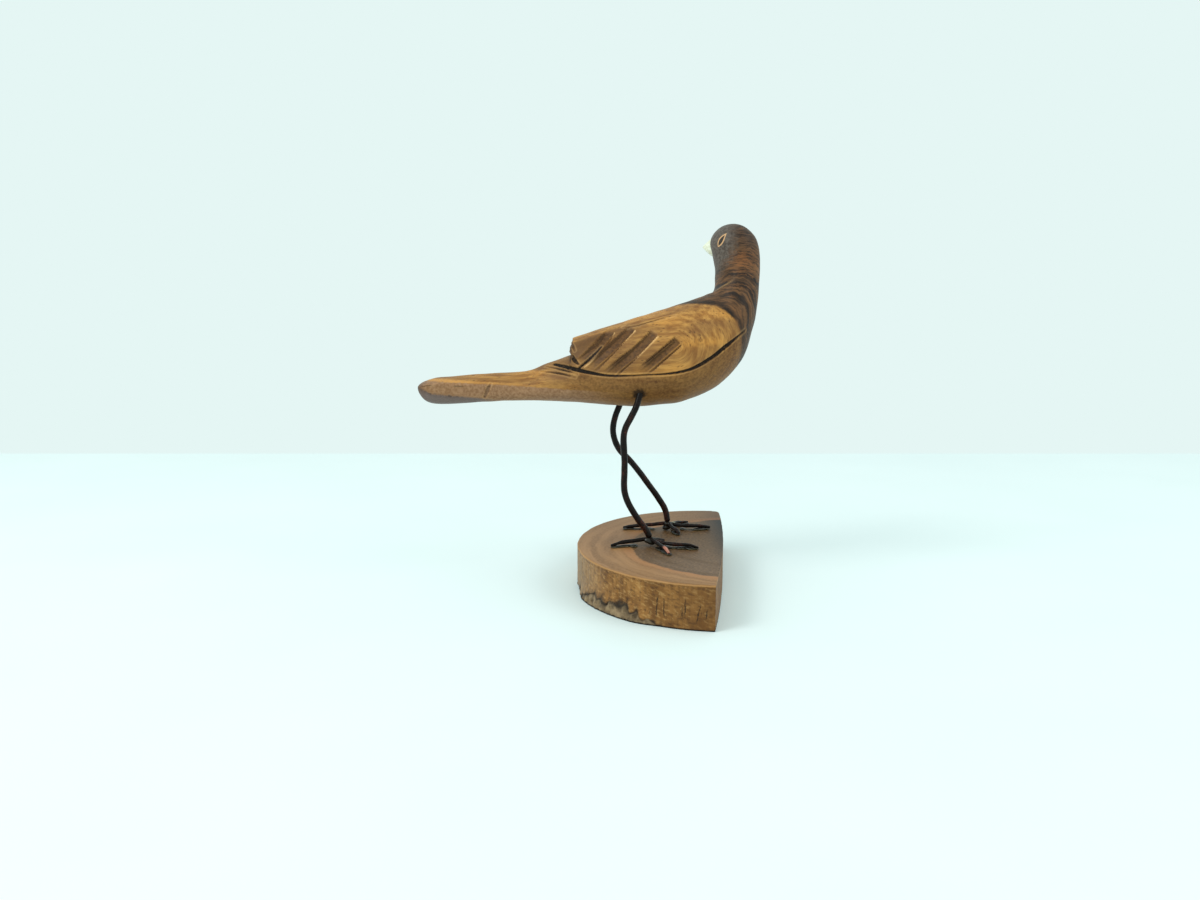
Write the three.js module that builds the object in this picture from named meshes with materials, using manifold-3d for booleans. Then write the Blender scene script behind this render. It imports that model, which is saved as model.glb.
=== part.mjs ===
// Carved wooden bird on wire legs, looking back over its far shoulder, on a slice of half a log.
// Millimetres. +Z is up, the bird faces +X, and its right side faces -Y.
// The origin is on the underside of the base, under the middle of the slice.

import * as THREE from 'three';
import { mergeVertices } from 'three/addons/utils/BufferGeometryUtils.js';
import { ParametricGeometry } from 'three/addons/geometries/ParametricGeometry.js';
import Module from 'manifold-3d';

const wasm = await Module();
wasm.setup();

// Driving dimensions of the base
const BASE_THICKNESS = 19;
const BASE_HALF_LENGTH = 71;
const BASE_BARK_RADIUS = 60.8;
const BASE_BARK_CENTRE_X = 25.4;
const BASE_NEAR_CORNER = [20.7, -70.2];
const BASE_FAR_CORNER = [33.2, 69.8];
const BASE_CORNER_ROUND = 3.6;
const BASE_SAWN_BOW = [34.1, 2.1];
const BASE_RIM_BEVEL = 0.7;

// The bark left at the foot of the near side: how far it stands proud, the height that it runs out
// at, and the ellipse angles in degrees between which it rises, stays full and falls off again
const BARK_PROUD = 2.4;
const BARK_TOP = 8;
const BARK_RISE = [188, 204];
const BARK_FALL = [232, 248];

// Driving dimensions of the wire
const WIRE_RADIUS = 1.45;
const TOE_RADIUS = 0.95;
const HOLE_RADIUS = 2.0;
const HOLE_DEPTH = 8;
const FIT_GAP = 0.3;

// Driving dimensions of the carving
const BODY_Y = 13;
const FEATHER_DEPTH = 0.8;
const FEATHER_DEPTH_LEFT = 1.1;
const FEATHER_LIP = 1.5;
const FEATHER_STEPS = 5;
const WALL_SLOPE = 0.45;
const EYE_DEPTH = 0.45;
const SECTION_STEPS = 28;
const STEPS_PER_STATION = 2;
const GOUGE_SIDES = 6;

// A station of the body: the back point and the belly point of one cross-section as
// [x, z, y from the middle plane], the half width, where the widest place lies between
// belly (0) and back (1), and the powers of the two superellipse halves: 2 is round, more is boxy.
function station(back, belly, halfWidth, seat, backPower = 2, bellyPower = 2) {
  return {
    values: [
      back[0], back[2] ?? 0, back[1],
      belly[0], belly[2] ?? 0, belly[1],
      halfWidth, seat, backPower, bellyPower,
    ],
  };
}

// The tail, from its blunt end to the foot of the step where the broken wings end
const TAIL_STATIONS = [
  station([-108.6, 88.9], [-108.6, 88.7], 0, 0.7, 1.7, 2.4),
  station([-107.5, 90.9], [-107.2, 85.6], 5.8, 0.75, 1.7, 2.6),
  station([-104.4, 92.5], [-104.2, 82.8], 8.6, 0.82, 1.6, 3),
  station([-98.7, 93.7], [-98.7, 81.7], 9.3, 0.8, 1.5, 3.4),
  station([-89.6, 94.6], [-89.6, 82.0], 9.2, 0.7, 1.5, 3.6),
  station([-77, 95.6], [-77, 82.8], 8.8, 0.62, 1.5, 3.6),
  station([-65.5, 96.2], [-65.5, 83.3], 8.8, 0.54, 1.6, 3.3),
  station([-57, 97.1], [-57, 83.4], 9.7, 0.48, 1.7, 3),
  station([-50, 100], [-50, 83.2], 11.2, 0.44, 1.8, 2.7),
  station([-44, 102], [-44, 83], 12.6, 0.42, 1.9, 2.4),
  station([-38.9, 104], [-38.9, 82.7], 13.8, 0.42, 2, 2.3),
];

// The body, the fan of sections that turns up round the breast, the neck and the head
const BODY_STATIONS = [
  station([-37.9, 111.7], [-37.9, 82.6], 14.4, 0.36, 2, 2.3),
  station([-31, 114.1], [-31, 82.1], 16.4, 0.39, 2, 2.2),
  station([-21, 117.2], [-21, 81.3], 18.8, 0.41, 2, 2.1),
  station([-9, 120.9], [-9, 80.5], 20.8, 0.42),
  station([3, 124.6], [3, 81.4], 21.8, 0.42),
  station([13, 127.8], [14, 83.2], 21.7, 0.43),
  station([18.8, 129.7, 0.4], [28.9, 90.2], 20.8, 0.45),
  station([23, 131.3, 0.8], [39.5, 101.8], 19, 0.47),
  station([25.9, 133.4, 1.6], [44.4, 115.9, 0.2], 16.6, 0.49),
  station([27.2, 138.1, 2.6], [46.4, 127.3, 0.4], 14, 0.5),
  station([27.4, 142.2, 3.2], [47.2, 137.1, 0.6], 12, 0.5),
  station([26.8, 145.9, 3.6], [47.3, 146, 0.7], 11, 0.5),
  station([26, 150, 4], [47, 150, 0.8], 10.8, 0.5),
  station([25, 153.8, 4.2], [46.3, 153.6, 0.8], 10.7, 0.5),
  station([25.6, 157, 4.2], [45, 157, 0.8], 10, 0.5),
  station([27.7, 159.9, 3.9], [42.5, 159.9, 1.1], 8, 0.5),
  station([30.7, 162.1, 3.2], [39.3, 162.1, 1.8], 4.6, 0.5),
  station([34.9, 163, 2.5], [35.1, 163, 2.5], 0, 0.5),
];

// Turned-back head: its middle, the way the beak points and how far the eyes stand from it
const HEAD_MIDDLE = new THREE.Vector3(35.8, BODY_Y + 2.4, 152.6);
const BEAK_AZIMUTH = 137;
const BEAK_DIP = -1;
const EYE_HEIGHT = 155.5;
const EYE_SPREAD = 89.5;

// Row past the end of a table: across a pole the section turns over, elsewhere it runs straight on
function rowPast(end, next) {
  const [bx, by, bz, ex, ey, ez, halfWidth, ...form] = next.values;
  if (end.values[6] === 0) return [ex, ey, ez, bx, by, bz, -halfWidth, ...form];
  return end.values.map((value, k) => 2 * value - next.values[k]);
}

// Smooth value between the stations: a Catmull-Rom blend of four neighbouring rows
function stationAt(table, place) {
  const last = table.length - 1;
  const index = Math.min(Math.floor(place), last - 1);
  const f = place - index;
  const a = index > 0 ? table[index - 1].values : rowPast(table[0], table[1]);
  const b = table[index].values;
  const c = table[index + 1].values;
  const d = index + 2 <= last ? table[index + 2].values : rowPast(table[last], table[last - 1]);
  return b.map((v, k) => v + 0.5 * f * (c[k] - a[k]
    + f * (2 * a[k] - 5 * b[k] + 4 * c[k] - d[k] + f * (3 * (b[k] - c[k]) + d[k] - a[k]))));
}

// Point of the body's skin: a place along the station table and an angle round the section,
// 0 on the far side, 90 degrees on the back, 180 on the near side. An inset sinks the skin.
function skinPoint(table, place, around, inset = 0) {
  const [bx, by, bz, ex, ey, ez, halfWidth, seat, backPower, bellyPower] = stationAt(table, place);
  const belly = new THREE.Vector3(ex, ey, ez);
  const rise = new THREE.Vector3(bx, by, bz).sub(belly);
  const length = Math.max(rise.length(), 1e-6);
  const reach = Math.max(length - 2 * inset, 0);
  const side = Math.cos(around);
  const up = Math.sin(around);
  const power = 2 / (up >= 0 ? backPower : bellyPower);
  const room = up >= 0 ? 1 - seat : seat;
  const along = seat + Math.sign(up) * Math.pow(Math.abs(up), power) * room;
  const across = Math.sign(side) * Math.pow(Math.abs(side), power) * Math.max(halfWidth - inset, 0);
  const point = belly.addScaledVector(rise, (inset + along * reach) / length);
  return new THREE.Vector3(point.x, point.y + across + BODY_Y, point.z);
}

// Rows of the loft: every station and the steps between, tail first, then the body
function loftRows() {
  const rows = [];
  for (const table of [TAIL_STATIONS, BODY_STATIONS]) {
    const steps = (table.length - 1) * STEPS_PER_STATION;
    for (let i = 0; i <= steps; i += 1) rows.push([table, i / STEPS_PER_STATION]);
  }
  return rows;
}

// Closed skin of the bird; where the inset leaves no section, the loft ends in a flat cap
function bodyLoft(inset = 0) {
  let rows = loftRows();
  if (inset > 0) rows = rows.slice(STEPS_PER_STATION, -STEPS_PER_STATION);
  const stacks = rows.length + 1;
  const point = (u, v, target) => {
    const index = Math.round(v * stacks);
    const [table, place] = rows[Math.min(Math.max(index - 1, 0), rows.length - 1)];
    if (index === 0 || index === stacks) {
      const back = skinPoint(table, place, Math.PI / 2, inset);
      target.copy(skinPoint(table, place, -Math.PI / 2, inset).lerp(back, 0.5));
    } else {
      target.copy(skinPoint(table, place, u * 2 * Math.PI, inset));
    }
  };
  return new ParametricGeometry(point, SECTION_STEPS, stacks);
}

// Closed solid of a geometry: only positions kept, shared corners merged, empty triangles dropped
function solid(geometry) {
  const bare = new THREE.BufferGeometry();
  bare.setAttribute('position', geometry.getAttribute('position').clone());
  if (geometry.index) bare.setIndex(geometry.index.clone());
  const merged = mergeVertices(bare, 1e-4);
  const index = merged.index.array;
  const kept = [];
  for (let i = 0; i < index.length; i += 3) {
    const [a, b, c] = [index[i], index[i + 1], index[i + 2]];
    if (a !== b && b !== c && c !== a) kept.push(a, b, c);
  }
  return new wasm.Manifold(new wasm.Mesh({
    numProp: 3,
    vertProperties: new Float32Array(merged.getAttribute('position').array),
    triVerts: new Uint32Array(kept),
  }));
}

// Largest part of a solid: the crumbs between two cuts fall away
function largest(manifold) {
  return manifold.decompose().reduce((best, part) => (part.volume() > best.volume() ? part : best));
}

// Geometry of a finished solid
function geometryOf(manifold) {
  const mesh = manifold.getMesh();
  const geometry = new THREE.BufferGeometry();
  geometry.setAttribute('position', new THREE.BufferAttribute(new Float32Array(mesh.vertProperties), 3));
  geometry.setIndex(Array.from(mesh.triVerts));
  geometry.computeVertexNormals();
  return geometry;
}

// Tube with a radius that changes along a smooth path and ends in a point or a flat disc
function strand(points, radii, sides, steps) {
  const path = new THREE.CatmullRomCurve3(points, false, 'centripetal');
  const frames = path.computeFrenetFrames(steps, false);
  const stacks = steps + 2;
  const point = (u, v, target) => {
    const row = Math.round(v * stacks);
    const step = Math.min(Math.max(row - 1, 0), steps);
    const t = step / steps;
    const span = t * (radii.length - 1);
    const low = Math.min(Math.floor(span), radii.length - 2);
    const capped = row === 0 || row === stacks;
    const radius = capped ? 0 : THREE.MathUtils.lerp(radii[low], radii[low + 1], span - low);
    const angle = u * 2 * Math.PI;
    target.copy(path.getPointAt(t));
    target.addScaledVector(frames.normals[step], Math.cos(angle) * radius);
    target.addScaledVector(frames.binormals[step], Math.sin(angle) * radius);
  };
  return new ParametricGeometry(point, sides, stacks);
}

const vectors = (list) => list.map((p) => new THREE.Vector3(...p));

// Body: the loft, then its cuts
const skin = new THREE.Mesh(bodyLoft(), new THREE.MeshBasicMaterial({ side: THREE.DoubleSide }));
const caster = new THREE.Raycaster();

// Place on the skin seen along the Y axis at (x, z), from the near side (-1) or the far side (1)
function skinHit(x, z, side) {
  caster.set(new THREE.Vector3(x, BODY_Y + side * 60, z), new THREE.Vector3(0, -side, 0));
  return caster.intersectObject(skin)[0].point;
}

// Round-bottomed cut along a line drawn on the side view, with the gouge's middle lifted off the skin
function gouge({ line, radii, lift, steps }, side) {
  const points = line.map(([x, z]) => skinHit(x, z, side).add(new THREE.Vector3(0, side * lift, 0)));
  return solid(strand(points, radii, GOUGE_SIDES, steps));
}

// Feather cut: a flat-bottomed channel between two lines drawn on the side view, with sloping
// walls, deeper along its left wall, square at the upper end and running out at the lower one
function featherCut({ left, right }, side) {
  const spline = (line) => new THREE.SplineCurve(line.map(([x, z]) => new THREE.Vector2(x, z)));
  const lines = [spline(left), spline(right)];
  const edges = (t) => lines.map((line) => line.getPointAt(t)).map(({ x, y }) => skinHit(x, y, side));
  const point = (u, v, target) => {
    const row = Math.round(v * (FEATHER_STEPS + 2));
    const t = THREE.MathUtils.clamp((row - 1) / FEATHER_STEPS, 0, 1);
    const [from, to] = edges(t);
    const across = to.clone().sub(from).normalize();
    const [ahead, behind] = [edges(Math.min(t + 0.1, 1)), edges(Math.max(t - 0.1, 0))];
    const along = ahead[0].add(ahead[1]).sub(behind[0]).sub(behind[1]);
    const out = along.cross(across).normalize();
    if (out.y * side < 0) out.negate();
    const fade = 1 - t ** 4;
    const corner = (edge, lift, widen) => edge.clone().addScaledVector(out, lift)
      .addScaledVector(across, widen * WALL_SLOPE);
    const corners = [
      corner(from, FEATHER_LIP, -FEATHER_LIP),
      corner(to, FEATHER_LIP, FEATHER_LIP),
      corner(to, -FEATHER_DEPTH * fade, -FEATHER_DEPTH),
      corner(from, -FEATHER_DEPTH_LEFT * fade, FEATHER_DEPTH_LEFT),
    ];
    const turn = Math.round(side < 0 ? 4 - u * 4 : u * 4) % 4;
    if (row === 0 || row === FEATHER_STEPS + 2) target.copy(corners[0]).lerp(corners[2], 0.5);
    else target.copy(corners[turn]);
  };
  return solid(new ParametricGeometry(point, 4, FEATHER_STEPS + 2));
}

// The four feather cuts of a wing as their left and right edges on the side view, from the top down
const FEATHER_CUTS = [
  { left: [[7.1, 111.6], [-0.6, 104.9], [-8.3, 98.1]], right: [[11, 110.9], [3.4, 104.3], [-4.3, 97.7]] },
  {
    left: [[-3.9, 115], [-11.7, 107.2], [-17.6, 101.9], [-23, 96.6]],
    right: [[1.3, 114.3], [-8.1, 105.1], [-13.3, 101], [-20.5, 94.6]],
  },
  {
    left: [[-14.3, 116], [-17.4, 113], [-24.8, 106.1], [-31, 99.9]],
    right: [[-8.4, 116.6], [-12.9, 112.5], [-20, 105.6], [-28.6, 98]],
  },
  {
    left: [[-23.6, 114.4], [-26.2, 110.5], [-31.3, 106.6], [-35.7, 102.8]],
    right: [[-18, 115.4], [-22.4, 110.5], [-28.6, 102.8], [-32.7, 99.4]],
  },
];

// Lines cut with a narrow gouge on each flank, drawn on the side view
const WING_EDGE = {
  line: [
    [39.2, 116], [35.2, 112.8], [29.5, 108.4], [24.7, 104.6], [18.6, 100.9], [12, 98.3], [3.8, 97.1],
    [-4.3, 96.7], [-13.6, 96.2], [-21.9, 96.2], [-31.2, 97.6], [-39.2, 99.3], [-45.5, 100.4],
  ],
  radii: [0.4, 1.1, 1, 0.8, 0.65, 0.6, 0.7, 0.7, 0.3],
  lift: 0.1,
  steps: 14,
};
const BACK_EDGE = {
  line: [[8, 122.4], [-0.6, 120.2], [-8.1, 118], [-14.6, 117]],
  radii: [0.2, 0.6, 0.6, 0.3],
  lift: 0.2,
  steps: 6,
};
const SLOT = {
  line: [[-25.6, 107.8], [-29.1, 104.2], [-32, 101.4], [-34.2, 99.4]],
  radii: [0.3, 0.8, 0.8, 0.3],
  lift: -0.9,
  steps: 5,
};
const TAIL_ROOT_UPPER = {
  line: [[-49.5, 99.2], [-42.8, 98.4], [-35.3, 96.6]],
  radii: [0.2, 0.6, 0.2],
  lift: 0.15,
  steps: 3,
};
const TAIL_ROOT_LOWER = {
  line: [[-51.7, 97.2], [-43.7, 96.7], [-36.1, 95.2]],
  radii: [0.2, 0.6, 0.2],
  lift: 0.15,
  steps: 3,
};
const FLANK_LINES = [WING_EDGE, BACK_EDGE, SLOT, TAIL_ROOT_UPPER, TAIL_ROOT_LOWER];

// Marks on the near side alone: the nick in the tail and the chips at the foot of the broken wing end
const TAIL_NICK = {
  line: [[-74.5, 91.6], [-75.8, 88.6], [-77.1, 85.6]],
  radii: [0.7, 1.1, 0.9],
  lift: 0.5,
  steps: 4,
};
const WING_CHIPS = [
  { line: [[-37.7, 104.2], [-36.3, 102.4], [-34.2, 100.6]], radii: [0.9, 1.1, 0.5], lift: 0.3, steps: 2 },
  { line: [[-37.8, 108.9], [-36.9, 107.9], [-36.4, 106.7]], radii: [0.9, 0.8, 0.4], lift: 0.4, steps: 2 },
];

// Knife hollow behind the shoulder, where the neck rises, cut with a wide gouge: each row gives
// the place along the body, the turn round it in half circles and how far off the skin the gouge runs
const THROAT_HOLLOW = [
  [7.3, 0.25, 5.6], [7.9, 0.47, 5.1], [8.8, 0.66, 5.1], [9.6, 0.8, 5.3], [10.2, 0.9, 5.9],
];
const THROAT_RADIUS = 6;
const THROAT_SIDES = 20;
const THROAT_STEPS = 7;

function throatCut() {
  const points = THROAT_HOLLOW.map(([place, turn, lift]) => {
    const point = skinPoint(BODY_STATIONS, place, turn * Math.PI);
    const inward = skinPoint(BODY_STATIONS, place, turn * Math.PI, 1).sub(point).normalize();
    return point.addScaledVector(inward, -lift);
  });
  return solid(strand(points, [THROAT_RADIUS, THROAT_RADIUS], THROAT_SIDES, THROAT_STEPS));
}

// Unit vector at an azimuth in degrees, counted from +X towards +Y, with a dip below level
function aim(azimuth, dip = 0) {
  const a = THREE.MathUtils.degToRad(azimuth);
  const d = THREE.MathUtils.degToRad(dip);
  return new THREE.Vector3(Math.cos(a) * Math.cos(d), Math.sin(a) * Math.cos(d), -Math.sin(d));
}

// Almond outline of an eye: two parabolic bows between pointed ends, fuller towards the beak
function almond(halfLength, halfWidth) {
  const steps = 6;
  const bow = (x) => halfWidth * (1 - x * x) * (1 - 0.2 * x);
  const points = [];
  for (let i = 0; i < 2 * steps; i += 1) {
    const x = i < steps ? (2 * i) / steps - 1 : 3 - (2 * i) / steps;
    points.push(new THREE.Vector2(halfLength * x, i < steps ? -bow(x) : bow(x)));
  }
  return new THREE.Shape(points);
}

const EYE_HALF_LENGTH = 3.6;
const EYE_HALF_WIDTH = 1.5;
const EYE_LINE = 0.62;
const EYE_LEAN = 57;

// Ring-shaped cut of one eye, standing on the skin at an azimuth of the head
function eyeCut(side) {
  const outward = aim(BEAK_AZIMUTH - side * EYE_SPREAD);
  const middle = new THREE.Vector3(HEAD_MIDDLE.x, HEAD_MIDDLE.y, EYE_HEIGHT);
  caster.set(middle.clone().addScaledVector(outward, 40), outward.clone().negate());
  const place = caster.intersectObject(skin)[0].point;
  const ring = almond(EYE_HALF_LENGTH, EYE_HALF_WIDTH);
  ring.holes.push(almond(EYE_HALF_LENGTH - 1.5 * EYE_LINE, EYE_HALF_WIDTH - EYE_LINE));
  const geometry = new THREE.ExtrudeGeometry(ring, { depth: 4, bevelEnabled: false });
  geometry.translate(0, 0, -2);
  const away = aim(BEAK_AZIMUTH + 180);
  const across = away.addScaledVector(outward, -away.dot(outward)).normalize();
  const lean = THREE.MathUtils.degToRad(EYE_LEAN);
  const axis = across.multiplyScalar(Math.cos(lean)).add(new THREE.Vector3(0, 0, Math.sin(lean)));
  const bow = outward.clone().cross(axis);
  geometry.applyMatrix4(new THREE.Matrix4().makeBasis(axis, bow, outward).setPosition(place));
  return solid(geometry);
}

// Cylinder that starts at a point and runs along a direction
function drill(start, direction, radius, length, sides = 12) {
  const geometry = new THREE.CylinderGeometry(radius, radius, length, sides);
  geometry.translate(0, length / 2, 0);
  const turn = new THREE.Quaternion().setFromUnitVectors(new THREE.Vector3(0, 1, 0), direction);
  geometry.applyQuaternion(turn);
  geometry.translate(start.x, start.y, start.z);
  return solid(geometry);
}

// Legs: route of each wire from its hole to its foot
const NEAR_LEG = vectors([
  [-7.5, -3.6, 87.0], [-9.0, -5, 82.1], [-11.4, -5.6, 77.3], [-13.7, -5.6, 72.6], [-14.5, -5.4, 67.6],
  [-14.1, -5.2, 60.4], [-14.0, -5.2, 53.6], [-14.2, -5.3, 47.2], [-13.6, -5.4, 42.2], [-11.2, -5.5, 36.7],
  [-7.6, -5.6, 31], [-4.3, -5.8, 26.6], [-2.4, -6, 22.8],
]);
const FAR_LEG = vectors([
  [-13.8, 26.8, 85.4], [-15.3, 27.4, 80.3], [-17.6, 27.3, 74.4], [-18.8, 27, 68.4], [-18.1, 26.8, 63.1],
  [-15.5, 26.6, 57.8], [-10.9, 26.5, 53], [-6.5, 26.4, 47.7], [-1.8, 26.2, 41.3], [2.5, 26, 35.4],
  [6.1, 25.9, 29.3], [7.6, 25.7, 23],
]);
const NEAR_HOLE_WAY = new THREE.Vector3(0.24, 0.38, 0.9).normalize();
const FAR_HOLE_WAY = new THREE.Vector3(0.24, -0.36, 0.9).normalize();

// Toes: route of each strand, from the ankle out to a tip that is bent down onto the base
const NEAR_TOES = [
  [[-2.6, -6, 22.6], [-8, -6.6, 21.9], [-14.5, -7.8, 21.3], [-18.2, -9, 20.6], [-20.2, -9.8, 20.1]],
  [[-2.4, -6, 22.6], [3, -9.4, 21.4], [9, -11.6, 21.2], [14.6, -12.4, 21.1], [19, -13, 20]],
  [[-2.2, -6.2, 22.6], [0.2, -10.4, 21.8], [2.6, -15.2, 21.2], [4.2, -20, 20.7], [5.2, -24.2, 20]],
  [[-2.4, -5.8, 22.4], [0.6, -2.6, 21.2], [4.6, 0.6, 20.3]],
];
const FAR_TOES = [
  [[7.4, 25.7, 22.6], [1.6, 25.9, 21.9], [-5.4, 26.4, 21.2], [-10.6, 26.7, 20.7], [-14, 26.8, 20.1]],
  [[7.6, 25.7, 22.6], [13.4, 25.6, 21.4], [19.6, 25.8, 21.2], [24, 26.2, 21], [28.2, 27, 20.2]],
  [[7.6, 25.4, 22.6], [9.2, 21.6, 21.6], [11, 17.8, 21], [12.4, 14.2, 20.2]],
  [[7.6, 26, 22.4], [10, 30.4, 21.2], [13.2, 35, 20.9], [18.4, 38.8, 20.2]],
];
const TOE_RADII = [TOE_RADIUS, TOE_RADIUS, TOE_RADIUS * 0.95, TOE_RADIUS * 0.55];
const TOE_SIDES = 6;
const TOE_STEPS = 6;
const WIRE_STEPS = 20;
const WIRE_END_PLAY = 1.2;
const ANKLE_RADIUS = 2.3;
const ANKLE_DROP = 1.2;

// One leg: the wire, the four strands of its foot and the lump of glue that joins them
function leg(route, holeWay, toes) {
  const top = route[0].clone().addScaledVector(holeWay, HOLE_DEPTH - WIRE_END_PLAY);
  const circle = new THREE.Shape().absarc(0, 0, WIRE_RADIUS, 0, 2 * Math.PI);
  const path = new THREE.CatmullRomCurve3([top, ...route], false, 'centripetal');
  const options = { steps: WIRE_STEPS, bevelEnabled: false, curveSegments: 4, extrudePath: path };
  let piece = solid(new THREE.ExtrudeGeometry(circle, options));
  for (const toe of toes) piece = piece.add(solid(strand(vectors(toe), TOE_RADII, TOE_SIDES, TOE_STEPS)));
  const ankle = new THREE.SphereGeometry(ANKLE_RADIUS, 9, 6);
  ankle.scale(1.15, 1, 0.8);
  const foot = route[route.length - 1];
  ankle.translate(foot.x, foot.y, foot.z - ANKLE_DROP);
  return piece.add(solid(ankle));
}

// Beak: a blunt cone with a flat root, turned about its own axis and a little narrower than tall
const BEAK_ROOT = 4.8;
const BEAK_LENGTH = 9.1;
const BEAK_ROOT_DISTANCE = 8.6;
const BEAK_NARROWING = 0.84;

function beakProfile(grow) {
  return [
    new THREE.Vector2(0, -grow), new THREE.Vector2(BEAK_ROOT + grow, -grow),
    new THREE.Vector2(BEAK_ROOT + grow, 1.4), new THREE.Vector2(BEAK_ROOT * 0.9 + grow, 3),
    new THREE.Vector2(BEAK_ROOT * 0.66 + grow, 5.2), new THREE.Vector2(BEAK_ROOT * 0.38 + grow, 7.2),
    new THREE.Vector2(BEAK_ROOT * 0.14 + grow, BEAK_LENGTH - 0.3), new THREE.Vector2(0, BEAK_LENGTH + grow),
  ];
}

function beak(grow = 0) {
  const geometry = new THREE.LatheGeometry(beakProfile(grow), 14);
  const forward = aim(BEAK_AZIMUTH, BEAK_DIP);
  const wide = aim(BEAK_AZIMUTH - 90);
  const tall = wide.clone().cross(forward);
  geometry.scale(BEAK_NARROWING, 1, 1);
  const place = HEAD_MIDDLE.clone().addScaledVector(forward, BEAK_ROOT_DISTANCE);
  geometry.applyMatrix4(new THREE.Matrix4().makeBasis(wide, forward, tall).setPosition(place));
  return solid(geometry);
}

// Angle of a point of the base round the bark side's ellipse
function angleOf([x, y]) {
  return Math.atan2(y / BASE_HALF_LENGTH, (x - BASE_BARK_CENTRE_X) / BASE_BARK_RADIUS);
}

// Pushes the foot of the near side out where bark is left, by less the higher a point lies,
// after the walls' middle ring of points is brought to the height at which the bark runs out
function addBark(positions) {
  const point = new THREE.Vector3();
  for (let i = 0; i < positions.count; i++) {
    point.fromBufferAttribute(positions, i);
    const isMiddle = Math.abs(point.z - BASE_THICKNESS / 2) < BASE_RIM_BEVEL;
    if (isMiddle) point.z = BARK_TOP;
    const degrees = THREE.MathUtils.radToDeg(angleOf([point.x, point.y]) + 2 * Math.PI) % 360;
    const span = THREE.MathUtils.smoothstep(degrees, ...BARK_RISE)
      * (1 - THREE.MathUtils.smoothstep(degrees, ...BARK_FALL));
    const reach = BARK_PROUD * span * Math.max(1 - point.z / BARK_TOP, 0);
    const outward = new THREE.Vector3(point.x - BASE_BARK_CENTRE_X, point.y, 0).normalize();
    point.addScaledVector(outward, reach);
    positions.setXYZ(i, point.x, point.y, point.z);
  }
}

// Base: an elliptical bark side, a slightly bowed sawn side and a narrow bevel round both rims
function base() {
  const shape = new THREE.Shape();
  shape.absellipse(
    BASE_BARK_CENTRE_X, 0, BASE_BARK_RADIUS - BASE_RIM_BEVEL, BASE_HALF_LENGTH - BASE_RIM_BEVEL,
    angleOf(BASE_FAR_CORNER), 2 * Math.PI + angleOf(BASE_NEAR_CORNER), false,
  );
  const cornerX = BASE_FAR_CORNER[0] + BASE_CORNER_ROUND - BASE_RIM_BEVEL;
  shape.quadraticCurveTo(BASE_SAWN_BOW[0], BASE_SAWN_BOW[1], cornerX, BASE_FAR_CORNER[1] - BASE_CORNER_ROUND);
  shape.quadraticCurveTo(cornerX, BASE_FAR_CORNER[1] - BASE_RIM_BEVEL,
    BASE_FAR_CORNER[0], BASE_FAR_CORNER[1] - BASE_RIM_BEVEL);
  const geometry = new THREE.ExtrudeGeometry(shape, {
    depth: BASE_THICKNESS - 2 * BASE_RIM_BEVEL,
    steps: 2,
    bevelEnabled: true,
    bevelThickness: BASE_RIM_BEVEL,
    bevelSize: BASE_RIM_BEVEL,
    bevelSegments: 1,
    curveSegments: 16,
  });
  geometry.translate(0, 0, BASE_RIM_BEVEL);
  addBark(geometry.getAttribute('position'));
  return solid(geometry);
}

// The carved body with every cut
function body() {
  let piece = solid(skin.geometry);
  const eyeFloor = solid(bodyLoft(EYE_DEPTH));
  for (const side of [-1, 1]) {
    for (const cut of FEATHER_CUTS) piece = piece.subtract(featherCut(cut, side));
    for (const line of FLANK_LINES) piece = piece.subtract(gouge(line, side));
    piece = piece.subtract(eyeCut(side).subtract(eyeFloor));
  }
  for (const mark of [TAIL_NICK, ...WING_CHIPS]) piece = piece.subtract(gouge(mark, -1));
  piece = piece.subtract(throatCut());
  for (const [route, way] of [[NEAR_LEG, NEAR_HOLE_WAY], [FAR_LEG, FAR_HOLE_WAY]]) {
    const start = route[0].clone().addScaledVector(way, -3);
    piece = piece.subtract(drill(start, way, HOLE_RADIUS, HOLE_DEPTH + 3));
  }
  return largest(piece.subtract(beak(FIT_GAP)));
}

function wood(colour) {
  return new THREE.MeshStandardMaterial({ color: colour, roughness: 0.5, metalness: 0 });
}

const wire = new THREE.MeshStandardMaterial({ color: 0x2a1a14, roughness: 0.35, metalness: 0.4 });
const horn = new THREE.MeshStandardMaterial({ color: 0xe9e4c6, roughness: 0.35, metalness: 0 });

const bird = new THREE.Group();
for (const [name, piece, material] of [
  ['body', body(), wood(0x8f6534)],
  ['beak', beak(), horn],
  ['right_leg', leg(NEAR_LEG, NEAR_HOLE_WAY, NEAR_TOES), wire],
  ['left_leg', leg(FAR_LEG, FAR_HOLE_WAY, FAR_TOES), wire.clone()],
  ['base', base(), wood(0x9a7550)],
]) {
  const mesh = new THREE.Mesh(geometryOf(piece), material);
  mesh.name = name;
  bird.add(mesh);
}

export default bird;
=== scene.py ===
import logging
import math
from dataclasses import dataclass, field
from enum import Enum
from typing import Callable, Sequence

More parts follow.
